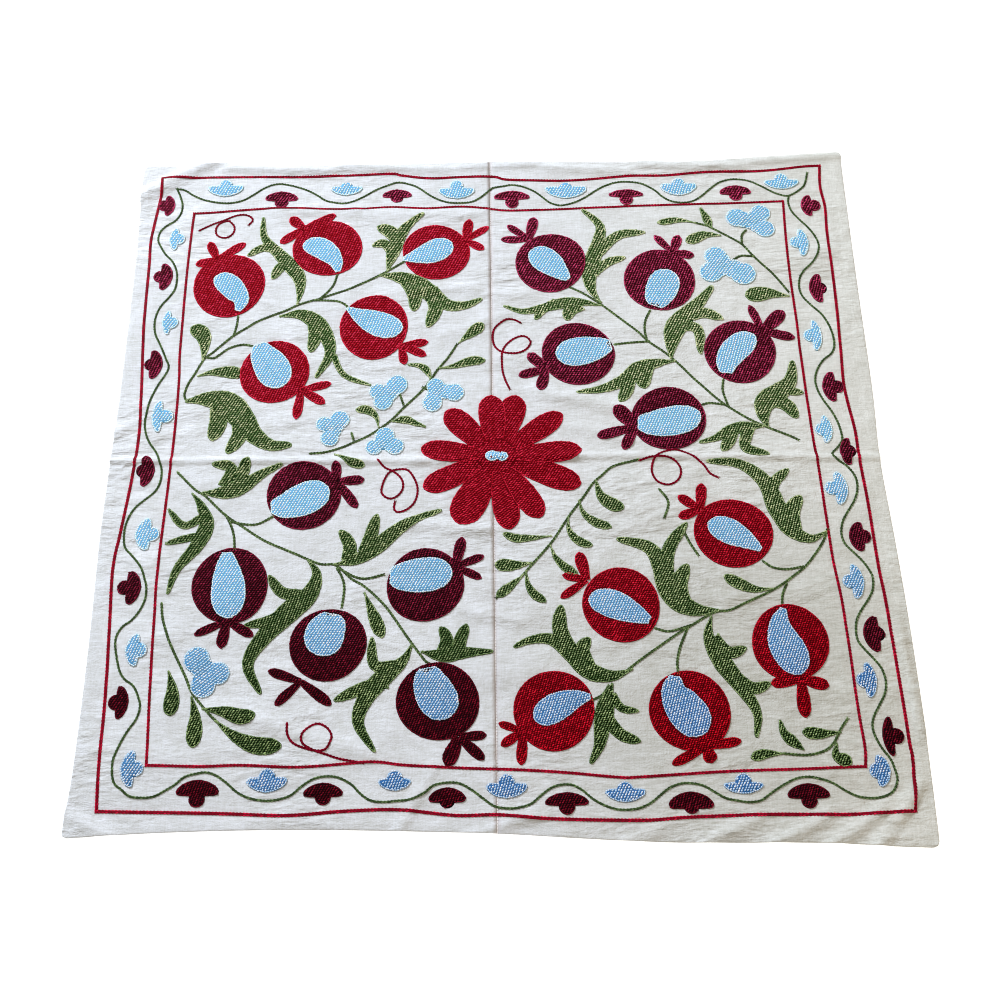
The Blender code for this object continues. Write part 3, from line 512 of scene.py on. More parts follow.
# %% [markdown]
# # The motifs
# Every motif was drawn on the cloth by hand before it was worked, so no two are alike. A leaf, a
# crown point or a petal is a blade: a line through its middle and a width that swells along it.
# A pomegranate is a slightly uneven oval with a pale window, and a border bud is a crescent with
# a round knob. All their places and sizes are in tables, in millimetres.

# %% How a blade swells from root to tip
PROFILES = {
    "leaf": xy("""0 0.1 0.06 0.26 0.16 0.58 0.28 0.88 0.4 1 0.54 0.86 0.7 0.64 0.84 0.45
        0.93 0.34 0.98 0.24 1 0.1"""),
    "finger": xy("""0 1.2 0.15 1.14 0.35 1.08 0.55 1.02 0.74 0.9 0.87 0.68 0.95 0.44 1 0.16"""),
    "club": xy("""0 0.1 0.15 0.28 0.35 0.58 0.55 0.88 0.72 1 0.86 0.9 0.95 0.58 1 0.16"""),
    "sepal": xy("""0 0.55 0.2 0.72 0.45 0.94 0.66 1 0.83 0.88 0.94 0.58 1 0.14"""),
    "petal": xy("""0 0.34 0.2 0.66 0.4 0.88 0.58 0.99 0.72 1 0.86 0.88 0.95 0.58 1 0.14"""),
    "window": xy("""0 0.12 0.08 0.28 0.22 0.54 0.42 0.86 0.6 1 0.76 0.97 0.89 0.77 0.96 0.48
        1 0.12"""),
    "barrel": xy("""0 0.46 0.04 0.66 0.14 0.84 0.32 0.97 0.5 1 0.7 0.95 0.86 0.76 0.95 0.48
        1 0.14"""),
    "horns": xy("""0 0.22 0.05 0.46 0.15 0.68 0.3 0.88 0.5 1 0.7 0.88 0.85 0.68 0.95 0.46
        1 0.22"""),
}

# %% Pomegranates: centre and size, foot of the crown, crown points with widths, and the window
# A window leans, and its middle line bends through five points from the stalk to its round far
# end. It starts pointed there if "blunt" is 0 and as wide as a barrel if it is 1.
Fruit = namedtuple("Fruit", "x y width height crown sepals window_width blunt window")


def fruits(text):
    return [Fruit(*body, crown, sepals.reshape(-1, 3), *opening, window.reshape(-1, 2))
            for body, crown, sepals, opening, window in table(text)]


RED_FRUITS = fruits("""
    -364 269 98 100 | -384 312 | -397 341 12 -346 338 12 -413 303 12 | 34 0.25 |
        -349 228 -346 246 -356 261 -368 273 -385 282;
    -231 328 96 92 | -266 362 | -286 380 14 -222 383 12 -298 338 12 | 34 0.2 |
        -215 288 -218 304 -229 319 -244 330 -266 334;
    -79.5 319 94 88 | -39 338 | -33 372 13 -6 360 10 -13 322 11 | 37 0.1 |
        -125 308 -107 312 -87 318 -71 326 -57 334;
    -162.5 200 94 98 | -125 170 | -89 177 11 -91 156 11 -120 142 11 | 39 0 |
        -200 230 -182 218 -161 207 -143 200 -123 196;
    -293 134 92 94 | -256 106 | -217 116 11 -224 86 12 -261 63 12 | 48 0.55 |
        -317 177 -310 161 -300 145 -291 129 -283 110;
    298 -104 98 93 | 259 -72 | 263 -36 13 232 -53 12 231 -82 12 | 35 0.15 |
        331 -127 317 -116 301 -106 286 -98 267 -90;
    153 -196 96 95 | 112 -164 | 103 -127 14 82 -157 10 79 -187 10 | 37 0.35 |
        187 -217 171 -209 153 -200 136 -193 113 -188;
    355 -246 94 95 | 363 -292 | 327 -297 13 364 -338 15 396 -300 14 | 43 0.15 |
        351 -203 345 -222 347 -243 355 -263 365 -286;
    67 -326 95 98 | 30 -350 | 1 -340 9 4 -367 11 27 -390 12 | 35 0.2 |
        111 -310 95 -312 79 -318 63 -326 44 -338;
    228 -328 96 97 | 244 -371 | 286 -364 11 203 -391 11 250 -390 15 | 48 0.35 |
        213 -286 211 -304 219 -321 230 -337 244 -356
""")
MAROON_FRUITS = fruits("""
    79 299 97 95 | 50 338 | 58 375 14 20 362 10 11 338 11 | 40 0.25 |
        103 271 91 284 78 298 66 308 50 317;
    228 269 96 99 | 249 313 | 225 341 10 259 341 13 278 307 12 | 45 0.8 |
        219 227 225 242 231 256 236 269 242 285;
    112 155 98 93 | 69 133 | 45 156 14 32 123 12 60 100 14 | 43 0.6 |
        157 168 138 163 119 159 100 156 82 154;
    329 155 97 94 | 362 186 | 347 226 11 393 217 18 404 175 13 | 38 0.7 |
        308 122 310 138 319 154 333 167 351 179;
    227 57 97 92 | 183 45 | 157 75 18 133 32 14 166 13 13 | 43 0.75 |
        186 50 206 49 228 52 250 57 269 64;
    -245 -45 94 95 | -203 -26 | -206 2 12 -168 -24 12 -176 -63 12 | 46 0.6 |
        -286 -61 -268 -59 -248 -52 -231 -44 -213 -35;
    -330 -165 96 98 | -330 -211 | -369 -228 10 -336 -245 13 -297 -230 11 | 44 0.4 |
        -337 -121 -335 -143 -332 -165 -330 -187 -328 -208;
    -88 -167 97 94 | -51 -144 | -42 -105 13 -15 -130 10 -18 -160 10 | 46 0.8 |
        -132 -156 -114 -156 -95 -155 -76 -153 -54 -151;
    -205 -242 93 92 | -236 -287 | -276 -273 11 -265 -316 11 -198 -316 12 | 50 0.85 |
        -201 -203 -204 -215 -209 -228 -212 -241 -216 -256;
    -71 -313 99 95 | -46 -356 | -13 -354 11 -16 -383 12 -60 -390 17 | 49 0.75 |
        -84 -272 -81 -288 -75 -303 -67 -317 -58 -334
""")

# %% The rosette: petal tips and widths round its small blue heart
ROSETTE = (2, 6)
PETALS = ((-6, 94, 36), (30, 93, 36), (88, 66, 30), (112, 14, 30), (109, -35, 34), (58, -79, 32),
          (18, -95, 34), (-48, -87, 44), (-92, -38, 32), (-96, 18, 30), (-64, 72, 34))

# %% Large leaves: width and middle line, then each side finger's width and line
Leaf = namedtuple("Leaf", "width spine fingers")
LEAVES = [Leaf(width[0], spine.reshape(-1, 2), fingers) for width, spine, *fingers in table("""
    20 | -269 237 -266 257 -268 280 -282 301 -301 323 -321 349 -324 381 |
        14 -272 296 -292 300 -306 279 | 11 -302 327 -322 330 -342 317;
    22 | -292 220 -263 222 -240 208 -225 184 -221 158 -238 124 |
        16 -243 208 -242 186 -247 163 | 7 -216 158 -200 128 -164 112;
    34 | -409 92 -381 95 -353 88 -333 67 -315 42 -292 26 -264 26 |
        21 -362 80 -363 58 -370 34 | 19 -335 68 -333 42 -348 15;
    20 | -147 288 -143 306 -137 328 -130 348 -118 366 -97 383 |
        13 -137 316 -152 334 -169 331 | 18 -130 338 -145 354 -163 362;
    26 | -158 283 -130 279 -103 266 -83 249 -62 233 -38 233 -16 243 |
        18 -117 272 -108 248 -109 224 | 18 -88 258 -79 230 -90 199;
    22 | 146 233 134 255 132 280 138 306 147 334 149 360 125 387 |
        13 143 312 175 342 213 347 | 12 138 282 158 298 183 306;
    16 | 147 229 122 234 96 234 68 227 40 222 13 231 |
        12 85 234 66 224 56 208 | 17 118 232 104 222 98 206;
    28 | 236 146 238 170 245 193 262 214 283 236 300 258 |
        15 258 210 285 215 310 205 | 13 248 196 274 190 276 152;
    20 | 242 143 215 139 191 131 172 114 142 102 108 97 |
        16 178 122 175 100 164 82 | 20 200 134 197 116 198 101;
    28 | 355 42 351 60 355 78 374 93 391 110 397 140 |
        11 372 95 390 94 407 92 | 17 362 84 383 74 395 55;
    16 | 353 44 328 44 306 39 286 28 264 22 |
        15 308 40 303 24 293 9 | 13 330 42 324 14 354 4;
    20 | -376 -40 -350 -40 -325 -32 -300 -14 -274 -1 |
        13 -348 -32 -340 -6 -366 0 | 15 -330 -28 -324 -8 -319 9;
    19 | -388 -40 -375 -58 -366 -84 -377 -113 -398 -142 -407 -175 |
        9 -370 -72 -395 -84 -417 -61 | 9 -370 -98 -392 -102 -416 -109;
    26 | -235 -132 -223 -152 -231 -178 -256 -201 -286 -234 -301 -266 -283 -302 |
        13 -240 -180 -266 -174 -283 -152 | 13 -244 -192 -276 -210 -309 -217;
    20 | -203 -139 -176 -134 -150 -116 -124 -94 -98 -79 -68 -68 |
        15 -184 -134 -184 -112 -197 -93 | 15 -164 -124 -156 -96 -150 -72;
    18 | -92 -252 -68 -257 -40 -254 -4 -253 |
        14 -64 -252 -61 -236 -69 -221 | 14 -48 -252 -43 -234 -36 -218;
    22 | -103 -243 -114 -264 -137 -284 -157 -308 -165 -338 -144 -373 |
        12 -122 -270 -148 -268 -152 -233 | 14 -132 -288 -165 -298 -195 -311;
    24 | 415 -104 394 -113 371 -101 356 -70 344 -35 314 -10 271 -5 |
        13 350 -58 356 -36 376 -17 | 19 372 -102 374 -76 388 -54;
    28 | 272 -205 246 -204 225 -194 212 -173 205 -146 190 -121 151 -110 |
        15 210 -165 216 -124 241 -89 | 18 228 -196 226 -170 238 -144;
    22 | 262 -212 257 -238 269 -266 289 -297 307 -330 304 -361 |
        14 262 -240 280 -258 302 -252 | 14 284 -288 305 -302 327 -296;
    22 | 163 -277 138 -285 112 -279 91 -258 67 -239 42 -239 20 -248 |
        17 88 -254 77 -226 79 -195 | 17 108 -274 103 -252 113 -237;
    22 | 138 -294 130 -315 124 -342 119 -368 108 -389 |
        9 136 -308 147 -324 168 -328 | 13 130 -338 146 -356 168 -364
""")]

# %% Small leaves: width and the line from stem to tip; most swell towards the tip like a club
Small = namedtuple("Small", "profile width spine")
SLIM_ONES = {6, 8, 11, 27}
SMALL_LEAVES = [Small("leaf" if i in SLIM_ONES else "club", width[0], spine.reshape(-1, 2))
                for i, (width, spine) in enumerate(table("""
    21 | -391 152 -390 175 -395 194 -412 204; 17 | -396 129 -378 134 -358 135 -331 131;
    16 | -163 -176 -152 -203 -139 -234; 15 | 342 -178 318 -178 298 -170 282 -160;
    15 | -48 174 -32 188 -14 203; 13 | -74 136 -55 139 -32 146 -12 147;
    10 | -85 120 -90 133 -100 140 -116 142; 12 | -152 50 -156 66 -168 76 -183 76;
    11 | -135 58 -117 60 -103 54 -90 49; 12 | -208 12 -198 8 -185 0 -168 -5;
    10 | 285 361 260 366 230 362; 12 | 306 352 299 370 292 387; 16 | 318 340 295 341 268 330;
    22 | 403 240 375 245 343 241; 18 | -396 -272 -389 -298 -390 -327;
    18 | -366 -303 -359 -330 -359 -365; 18 | -352 -319 -325 -323 -305 -329 -287 -327;
    20 | -335 -333 -312 -351 -285 -363 -254 -364; 17 | 128 -28 134 -50 147 -62 163 -68;
    12 | 106 -56 111 -74 126 -87 146 -94; 11 | 92 -78 92 -97 103 -112 121 -119;
    11 | 68 -117 74 -133 86 -147 101 -156; 11 | 70 -105 45 -107 25 -107 9 -100;
    16 | 45 -140 25 -143 -2 -142; 11 | 37 -150 39 -168 47 -182 61 -191;
    12 | 35 -155 18 -170 0 -184; 12 | 335 -380 312 -380 295 -385; 13 | 358 -376 338 -358 333 -340;
    14 | 404 -356 380 -357 358 -355; 15 | 397 -368 395 -383 412 -392
"""))]

# %% Three-lobed blue flowers: their middle and each lobe's centre and radius
FLOWERS = [(middle, lobes.reshape(-1, 3)) for middle, lobes in table("""
    -138 101 | -129 112 14 -155 103 11 -147 88 13; -77 103 | -78 109 12 -53 99 13 -82 84 13;
    -144 29 | -143 37 13 -157 21 11 -130 22 12; -208 54 | -203 62 13 -223 55 11 -215 35 12;
    361 362 | 342 369 15 376 376 14 380 350 14; 320 291 | 308 305 16 300 280 16 343 277 18;
    -353 -273 | -363 -259 16 -336 -276 14 -353 -291 15
""")]

# %% Border buds: place, span, how far the belly and the knob reach, and which way the knob points
Bud = namedtuple("Bud", "x y span belly knob")


def buds(text):
    return [Bud(*row) for row, in table(text)]


BLUE_BUDS = {
    "up": buds("""
        -381 433 50 15 13; -208 429 44 12 9; -51 423 50 15 16; 104 424 58 17 9; 264 426 50 17 12;
        411 430 48 13 13; -269 -403 47 14 13; -120 -406 37 11 12; 10 -413 47 14 13;
        147 -421 46 12 11; 284 -415 45 10 13"""),
    "right": buds("""
        -444 347 36 9 12; -442 212 36 8 13; -440 70 45 10 18; -438 -96 42 16 14;
        -437 -246 40 13 13; -427 -389 42 13 13"""),
    "left": buds("""
        427 326 45 11 15; 430 178 47 10 14; 428 38 39 10 12; 435 -45 45 13 16; 441 -170 45 12 14;
        442 -294 42 11 13; 442 -401 36 13 11"""),
}
MAROON_BUDS = {
    "down": buds("""
        -300 411 45 13 15; -136 414 41 11 11; 27 408 50 11 17; 189 410 48 9 16; 344 411 44 12 13;
        -349 -418 49 15 16; -203 -421 45 13 12; -59 -429 42 14 9; 79 -434 50 12 13;
        222 -439 51 16 7; 358 -429 48 14 14"""),
    "left": buds("""
        -463 404 33 11 12; -458 285 42 14 12; -459 148 42 14 10; -454 -8 42 14 9;
        -456 -166 42 15 14; -453 -310 39 12 12"""),
    "right": buds("""
        447 388 34 12 15; 446 252 44 14 10; 447 100 43 14 14; 456 6 37 11 9; 458 -111 38 15 12;
        461 -237 44 16 10; 462 -361 46 10 15"""),
}
KNOB_WAYS = {"up": (0, 1), "down": (0, -1), "left": (-1, 0), "right": (1, 0)}

# %% The two red border lines, side by side
OUTER_RED = xy_lines("""
    -473 450 -400 451 -250 450 -150 453 -130 450 -90 444 -50 445 0 445 25 439 110 437 190 443
    245 443 300 447 390 449 445 455 468 456;
    468 456 465 420 468 385 466 340 466 250 463 160 461 100 467 40 468 0 472 -80 474 -150 477 -200
    481 -320 482 -370 483 -390 478 -447;
    478 -447 400 -450 310 -449 220 -451 165 -454 60 -451 0 -446 -50 -446 -115 -439 -180 -440
    -245 -444 -320 -441 -464 -437;
    -464 -437 -467 -380 -470 -280 -477 -170 -478 -130 -474 -90 -467 -10 -465 50 -468 100 -475 200
    -478 300 -480 340 -478 370 -472 430 -473 450
""")
INNER_RED = xy_lines("""
    -423 390 -395 391 -300 396 -200 392 -145 395 -95 392 -45 394 -6 391;
    -3 390 25 387 90 388 160 390 200 392 300 393 408 396;
    410 396 407 300 409 200 409 140 412 30 415 -20 418 -130 424 -210 427 -330 429 -375 427 -396;
    427 -396 350 -398 260 -400 165 -405 140 -405 80 -399 20 -395 -50 -392 -110 -388 -150 -384
    -230 -389 -300 -386 -350 -387 -411 -385;
    -411 -385 -412 -370 -415 -320 -420 -210 -422 -145 -419 30 -420 120 -423 170 -424 292 -424 348
    -423 390
""")

# %% The vine that waves round the border
VINE_TOP_RIGHT, VINE_ROUND = xy_lines("""
    -451 432 -440 430 -427 421 -412 413 -394 408 -376 406 -358 409 -345 416 -325 431 -312 437
    -300 438 -283 434 -265 427 -250 418 -238 409 -225 405 -212 403 -198 406 -183 414 -165 426
    -150 433 -135 438 -118 434 -105 427 -92 416 -80 408 -65 402 -48 400 -30 402 -18 409 -8 418
    0 425 15 428 27 430 42 427 58 419 70 409 80 400 92 395 100 395 115 399 130 407 145 418 160 427
    180 433 200 432 215 428 230 418 240 407 252 399 267 396 282 398 295 406 308 418 322 429
    337 434 352 434 368 430 385 420 400 410 415 405 425 408 435 415 442 422 446 432 449 444;
    419 405 417 395 420 380 428 367 440 352 448 338 452 323 449 308 440 293 427 280 420 268
    418 253 421 240 430 227 443 212 451 195 455 178 455 162 450 150 438 140 428 125 424 110 426 95
    432 80 440 65 446 50 449 35 449 22 442 12 434 3 440 -5 450 -13 458 -25 461 -38 459 -52 453 -65
    444 -78 436 -92 433 -107 436 -120 445 -131 455 -143 462 -155 465 -165 463 -180 456 -193
    447 -205 439 -218 436 -233 437 -246 444 -257 453 -268 461 -280 464 -295 461 -310 452 -325
    444 -338 441 -350 443 -362 449 -375 457 -387 461 -400 462 -412 456 -424 445 -430 430 -432
    415 -430 402 -424 388 -415 375 -410 360 -407 345 -409 330 -416 315 -425 303 -433 290 -435
    275 -433 262 -430 250 -423 238 -416 225 -413 212 -413 198 -418 187 -426 175 -435 160 -441
    140 -442 125 -438 110 -430 97 -419 85 -413 72 -413 60 -417 48 -426 38 -434 25 -438 10 -439
    -5 -436 -18 -427 -30 -418 -45 -410 -60 -409 -75 -412 -85 -420 -100 -427 -118 -429 -133 -430
    -148 -428 -160 -420 -170 -410 -185 -402 -200 -400 -215 -403 -228 -411 -240 -421 -255 -426
    -270 -427 -288 -424 -303 -417 -315 -407 -328 -398 -340 -394 -350 -395 -365 -399 -376 -408
    -388 -415 -400 -421 -415 -422 -428 -420 -437 -413 -446 -406 -450 -395 -451 -380 -448 -368
    -443 -355 -437 -343 -429 -330 -426 -315 -430 -302 -437 -290 -448 -282 -455 -272 -460 -257
    -464 -240 -464 -228 -458 -216 -448 -208 -439 -195 -434 -180 -434 -165 -437 -155 -442 -142
    -449 -132 -458 -122 -466 -113 -469 -100 -469 -85 -465 -70 -458 -58 -446 -47 -436 -37 -431 -25
    -430 -10 -434 5 -440 18 -450 32 -456 45 -459 60 -458 75 -456 90 -452 105 -446 120 -438 135
    -436 145 -440 155 -450 177 -458 193 -461 208 -460 224 -455 238 -445 252 -438 265 -437 283
    -440 297 -447 311 -457 322 -466 337 -470 347 -468 360 -460 370 -449 378 -442 390 -441 405
    -446 421 -451 432
""")

# %% Branches and stalks
STEMS = xy_lines("""
    -409 95 -411 103 -407 118 -400 132 -389 155 -378 165 -365 178 -352 190 -335 202 -321 212
    -300 222 -283 229 -268 237 -254 242 -238 246 -227 250 -210 256 -198 261 -180 270 -165 278
    -145 290 -123 305;
    -348 220 -349 205 -352 190;
    -385 157 -376 156 -370 160 -358 170 -345 175 -335 176 -323 173;
    -238 246 -228 256 -220 268 -216 283;
    -248 244 -230 243 -213 241 -203 236 -199 231;
    104 259 125 247 147 230 165 214 180 200 195 186 207 172 225 158 235 149 250 133 263 117
    277 102 290 88 303 76 330 56 353 43 380 31 393 24;
    212 220 205 205 203 190 205 175;
    162 168 180 170 207 172;
    273 77 283 79 304 76;
    303 113 301 97 306 76;
    -409 -11 -385 -35 -370 -45 -344 -70 -320 -87 -290 -107 -250 -125 -220 -138 -200 -140 -180 -158
    -165 -167 -148 -182 -132 -200 -108 -235 -88 -262 -83 -266;
    -335 -80 -315 -84 -300 -83 -282 -73;
    -343 -70 -335 -85 -330 -100 -328 -117;
    -198 -145 -192 -155 -188 -170 -190 -195;
    -195 -145 -175 -156 -160 -158 -140 -153;
    416 -101 410 -115 400 -130 385 -148 370 -160 343 -178 305 -196 285 -205 265 -208 235 -225
    215 -237 178 -262 150 -283;
    332 -142 343 -150 360 -153 380 -150;
    358 -172 352 -185 350 -198;
    193 -227 210 -231 235 -224;
    232 -227 226 -240 221 -252 217 -268 217 -283;
    113 -314 125 -308 133 -297;
    -239 13 -220 15 -200 21 -185 28 -165 38 -138 58 -122 75 -105 93 -92 108 -83 122 -75 135
    -62 152 -50 172;
    -125 97 -120 82;
    -88 104 -95 108;
    -187 42 -184 32;
    285 361 300 356 310 350 330 337 346 325 358 308 370 293 385 275 403 247;
    353 348 347 340 346 328;
    332 300 343 306 360 305;
    -413 -187 -410 -205 -403 -225 -395 -243 -375 -280 -365 -300 -343 -325 -330 -337;
    184 -2 160 -7 148 -12 137 -22 125 -33 112 -52 95 -75 82 -95 70 -113 45 -142 22 -168 0 -185;
    335 -380 360 -382 380 -378 392 -370 400 -358 405 -350 413 -340;
    209 -44 217 -55 219 -65 213 -82;
    235 -97 242 -115 252 -133
""")

# %% The loops of the red tendrils
TENDRILS = xy_lines("""
    -413 361 -395 371 -378 378 -365 384 -352 386 -342 382 -339 376 -344 369;
    -372 376 -365 368 -364 358 -370 350 -378 348 -387 352 -390 361 -387 370 -379 375 -372 376;
    36 204 28 209 18 210 8 204 0 195 -2 182 0 170 6 162 15 158 30 157 42 162 49 172 45 180 37 183
    26 179 16 170 11 160 10 148 11 130 15 115 20 103;
    186 -3 200 1 215 2 225 0 233 -5 238 -15 236 -27 228 -35 218 -37 207 -32 201 -20 202 -8 207 2
    218 9 232 12 245 8 258 0 268 -10 275 -22 285 -28;
    -151 2 -142 -8 -132 -13 -122 -22 -118 -32 -120 -42 -128 -50 -137 -51 -145 -44 -145 -34
    -141 -22 -135 -14 -125 -11 -113 -12 -105 -22 -100 -35 -100 -48 -105 -60 -115 -68 -125 -70
    -129 -65 -128 -56;
    -249 -338 -248 -350 -242 -360 -230 -366 -215 -370 -203 -369 -197 -360 -196 -352 -202 -343
    -213 -338 -224 -343 -231 -352 -229 -362 -215 -370 -200 -375 -185 -380 -158 -385
""")
print(len(RED_FRUITS) + len(MAROON_FRUITS), "pomegranates,", len(LEAVES), "large leaves")

# %% [markdown]
# # From tables to outlines
# A motif that was worked in one go, such as a pomegranate and its crown, is one family. Its rows of
# stitches all lean the same way, and the next family leans a few degrees more or less, which is
# what makes the cloth look worked by hand.


# %% Outlines of blades, ovals and buds
OUTLINE_STEP = 3.0
KNOB_RADIUS, KNOB_PLACES = 9.5, (1, 0.35)
HORN_FULLER = 4.5


def blade(spine, width, profile, blunt=0.0):
    """An outline that swells along its middle line; blunt widens it towards a barrel."""
    line = spaced(smooth(spine), OUTLINE_STEP)
    along = np.linspace(0, 1, len(line))
    own, barrel = (np.interp(along, *PROFILES[kind].T) for kind in (profile, "barrel"))
    shares = (1 - blunt) * own + blunt * barrel
    left = sideways(line) * (shares * width / 2)[:, None]
    return np.concatenate([line - left, (line + left)[::-1]])


def oval(x, y, width, height, wobble=0.0, seed=0.0):
    """A round outline, a little uneven where it was drawn by hand."""
    count = max(16, round(math.pi * width / OUTLINE_STEP))
    turn = np.linspace(0, 2 * math.pi, count, endpoint=False)
    reach = 1 + wobble * (np.sin(2 * turn + seed) + 0.6 * np.sin(3 * turn + 2.3 * seed)) / width
    return np.stack([x + np.cos(turn) * width / 2 * reach,
                     y + np.sin(turn) * height / 2 * reach], axis=1)


def bud_outlines(bud, way):
    """A crescent whose horns point past a round knob."""
    out = np.array(KNOB_WAYS[way], float)
    across = np.array((-out[1], out[0]))
    middle = np.array((bud.x, bud.y))
    deep = (bud.belly - 3.5) / 2
    arc = [middle + across * bud.span / 2 * s - out * (0.5 + deep * (1 - s * s))
           for s in (-1, -0.66, -0.33, 0, 0.33, 0.66, 1)]
    stalk = out * (bud.knob - KNOB_RADIUS)
    rounds = [oval(*middle + stalk * share, 2 * KNOB_RADIUS, 2 * KNOB_RADIUS)
              for share in KNOB_PLACES]
    return [blade(arc, bud.belly + HORN_FULLER, "horns")] + rounds


# %% Families of motifs, each with the lean of its own rows
Family = namedtuple("Family", "outlines holes lean rimmed lot")
lean_chance = np.random.default_rng(7)
LEAN, FLOWER_LEAN, HEART_LEAN, PETAL_LEANS, LEAN_PLAY = 66, 48, 54, (42, 64), 7
FRUIT_WOBBLE = 1.6
BOSS_SIZE, PETAL_FOOT = (50, 46), 0.08
FLOWER_MIDDLE, FLOWER_NECK = 24, 1.75
SEPAL_FULLER, LEAF_FULLER = 1.12, 1.08
LEAF_LOTS = {3: 1.15, 5: 1.2, 7: 1.1, 12: 0.68, 13: 0.7, 15: 0.45, 16: 1.1, 17: 1.15}


def family(outlines, holes=(), lean=LEAN, rimmed=True, lot=1.0):
    """Outlines worked in one go, less their holes; lot is how light their dye lot came out."""
    return Family(outlines, holes, lean + lean_chance.uniform(-LEAN_PLAY, LEAN_PLAY), rimmed, lot)


def fruit_families(fruits):
    """Each fruit with its crown, left open where its window goes, and the windows."""
    bodies, windows = [], []
    for i, fruit in enumerate(fruits):
        window = blade(fruit.window, fruit.window_width, "window", fruit.blunt)
        crown = [blade((fruit.crown, (x, y)), size * SEPAL_FULLER, "sepal")
                 for x, y, size in fruit.sepals]
        round_body = oval(fruit.x, fruit.y, fruit.width, fruit.height, FRUIT_WOBBLE, i * 1.7)
        bodies.append(family([round_body] + crown, [window]))
        windows.append(family([window]))
    return bodies, windows


def bud_families(buds_by_way):
    return [family(bud_outlines(bud, way)) for way, row in buds_by_way.items() for bud in row]


def leaf_outlines(leaf):
    return [blade(leaf.spine, leaf.width * LEAF_FULLER, "leaf")] + \
        [blade(finger[1:].reshape(-1, 2), finger[0] * LEAF_FULLER, "finger")
         for finger in leaf.fingers]


red_bodies, red_windows = fruit_families(RED_FRUITS)
maroon_bodies, maroon_windows = fruit_families(MAROON_FRUITS)
heart = [oval(-4, 6, 18, 16), oval(9, 5, 16, 14), oval(3, 6, 16, 12)]
boss = oval(*ROSETTE, *BOSS_SIZE)
petals, worked = [], [boss]
for x, y, width in PETALS:
    tip = np.array((x, y), float)
    foot = np.array(ROSETTE) * (1 - PETAL_FOOT) + tip * PETAL_FOOT
    petal = blade((foot, tip), width, "petal")
    petals.append(family([petal], worked, lean_chance.uniform(*PETAL_LEANS)))
    worked = worked + [petal]
fruit_rounds = [one.outlines[0] for one in red_bodies + maroon_bodies]
crimson = red_bodies + petals + [family([boss], heart, HEART_LEAN, False)]
maroon = maroon_bodies + bud_families(MAROON_BUDS)
green = [family(leaf_outlines(leaf), fruit_rounds, lot=LEAF_LOTS.get(i, 1.0))
         for i, leaf in enumerate(LEAVES)]
green += [family([blade(small.spine, small.width * LEAF_FULLER, small.profile)], fruit_rounds)
          for small in SMALL_LEAVES]
blue = red_windows + maroon_windows + [family(heart)]
for (x, y), lobes in FLOWERS:
    rounds = [oval(lx, ly, 2 * r, 2 * r) for lx, ly, r in lobes]
    rounds += [oval((lx + x) / 2, (ly + y) / 2, FLOWER_NECK * r, FLOWER_NECK * r)
               for lx, ly, r in lobes]
    middle = oval(x, y, FLOWER_MIDDLE, FLOWER_MIDDLE)
    blue.append(family(rounds + [middle], (), FLOWER_LEAN))
blue += bud_families(BLUE_BUDS)
FILLS = {"crimson": crimson, "maroon": maroon, "green": green, "blue": blue}
print({name: len(families) for name, families in FILLS.items()}, "families")

# %% [markdown]
# # Dyed thread
# The thread is loosely spun and has a silky shine. Real dye takes unevenly, so each stitch gets its
# own tint between a darker and a lighter tone; the few brightest tints and the near-white light
# tones are a painted highlight of the silk's sheen. Each dye's tones drift over the cloth in its
# own way, a
# painted light falloff: darker towards the near side and lighter towards the far side. A few leaves
# were worked in a paler or darker lot. Each fill is matt and dark underneath, a painted shade where
# the light doesn't reach between the stitches.


# %% Silky thread and the dark between its stitches
Drift = namedtuple("Drift", "slant start end")
EVEN_DRIFT = Drift(-0.35, -0.45, 0.25)
THREAD_SHINE = 0.05


def painted_light_falloff(tree, place, near, far, drift=EVEN_DRIFT):
    """A painted light falloff: a tone that drifts from the near side of the cloth, in more shade,
    to its far side.
    """
    away = add_node(tree, "ShaderNodeVectorMath", {"operation": "DOT_PRODUCT"},
                    i0=place, i1=(drift.slant, 1, 0)).outputs["Value"]
    share = add_node(tree, "ShaderNodeMapRange", Value=away, From_Min=drift.start,
                     From_Max=drift.end)
    return add_node(tree, "ShaderNodeMix", {"data_type": "RGBA"}, Factor=share.outputs[0],
                    i6=hex_colour(near), i7=hex_colour(far)).outputs[2]


def thread(name, near, far, gloss=0.5, drift=EVEN_DRIFT):
    """Dyed thread, its dark and light tones at the near right and those at the far left, which
    differ by painted light.
    """
    material, tree, surface = new_material(name, gloss, THREAD_SHINE)
    tint = add_node(tree, "ShaderNodeAttribute", {"attribute_name": "tint"}).outputs["Fac"]
    place = add_node(tree, "ShaderNodeTexCoord").outputs["Object"]
    strands = add_node(tree, "ShaderNodeTexNoise", Vector=place, Scale=900, Detail=1)
    share = add_node(tree, "ShaderNodeMath", {"operation": "MULTIPLY_ADD", "use_clamp": True},
                     i0=strands.outputs["Fac"], i1=0.3, i2=tint)
    colour = add_node(tree, "ShaderNodeMix", {"data_type": "RGBA"}, Factor=share.outputs[0],
                      i6=painted_light_falloff(tree, place, near[0], far[0], drift),
                      i7=painted_light_falloff(tree, place, near[1], far[1], drift))
    tree.links.new(colour.outputs[2], surface.inputs["Base Color"])
    return material


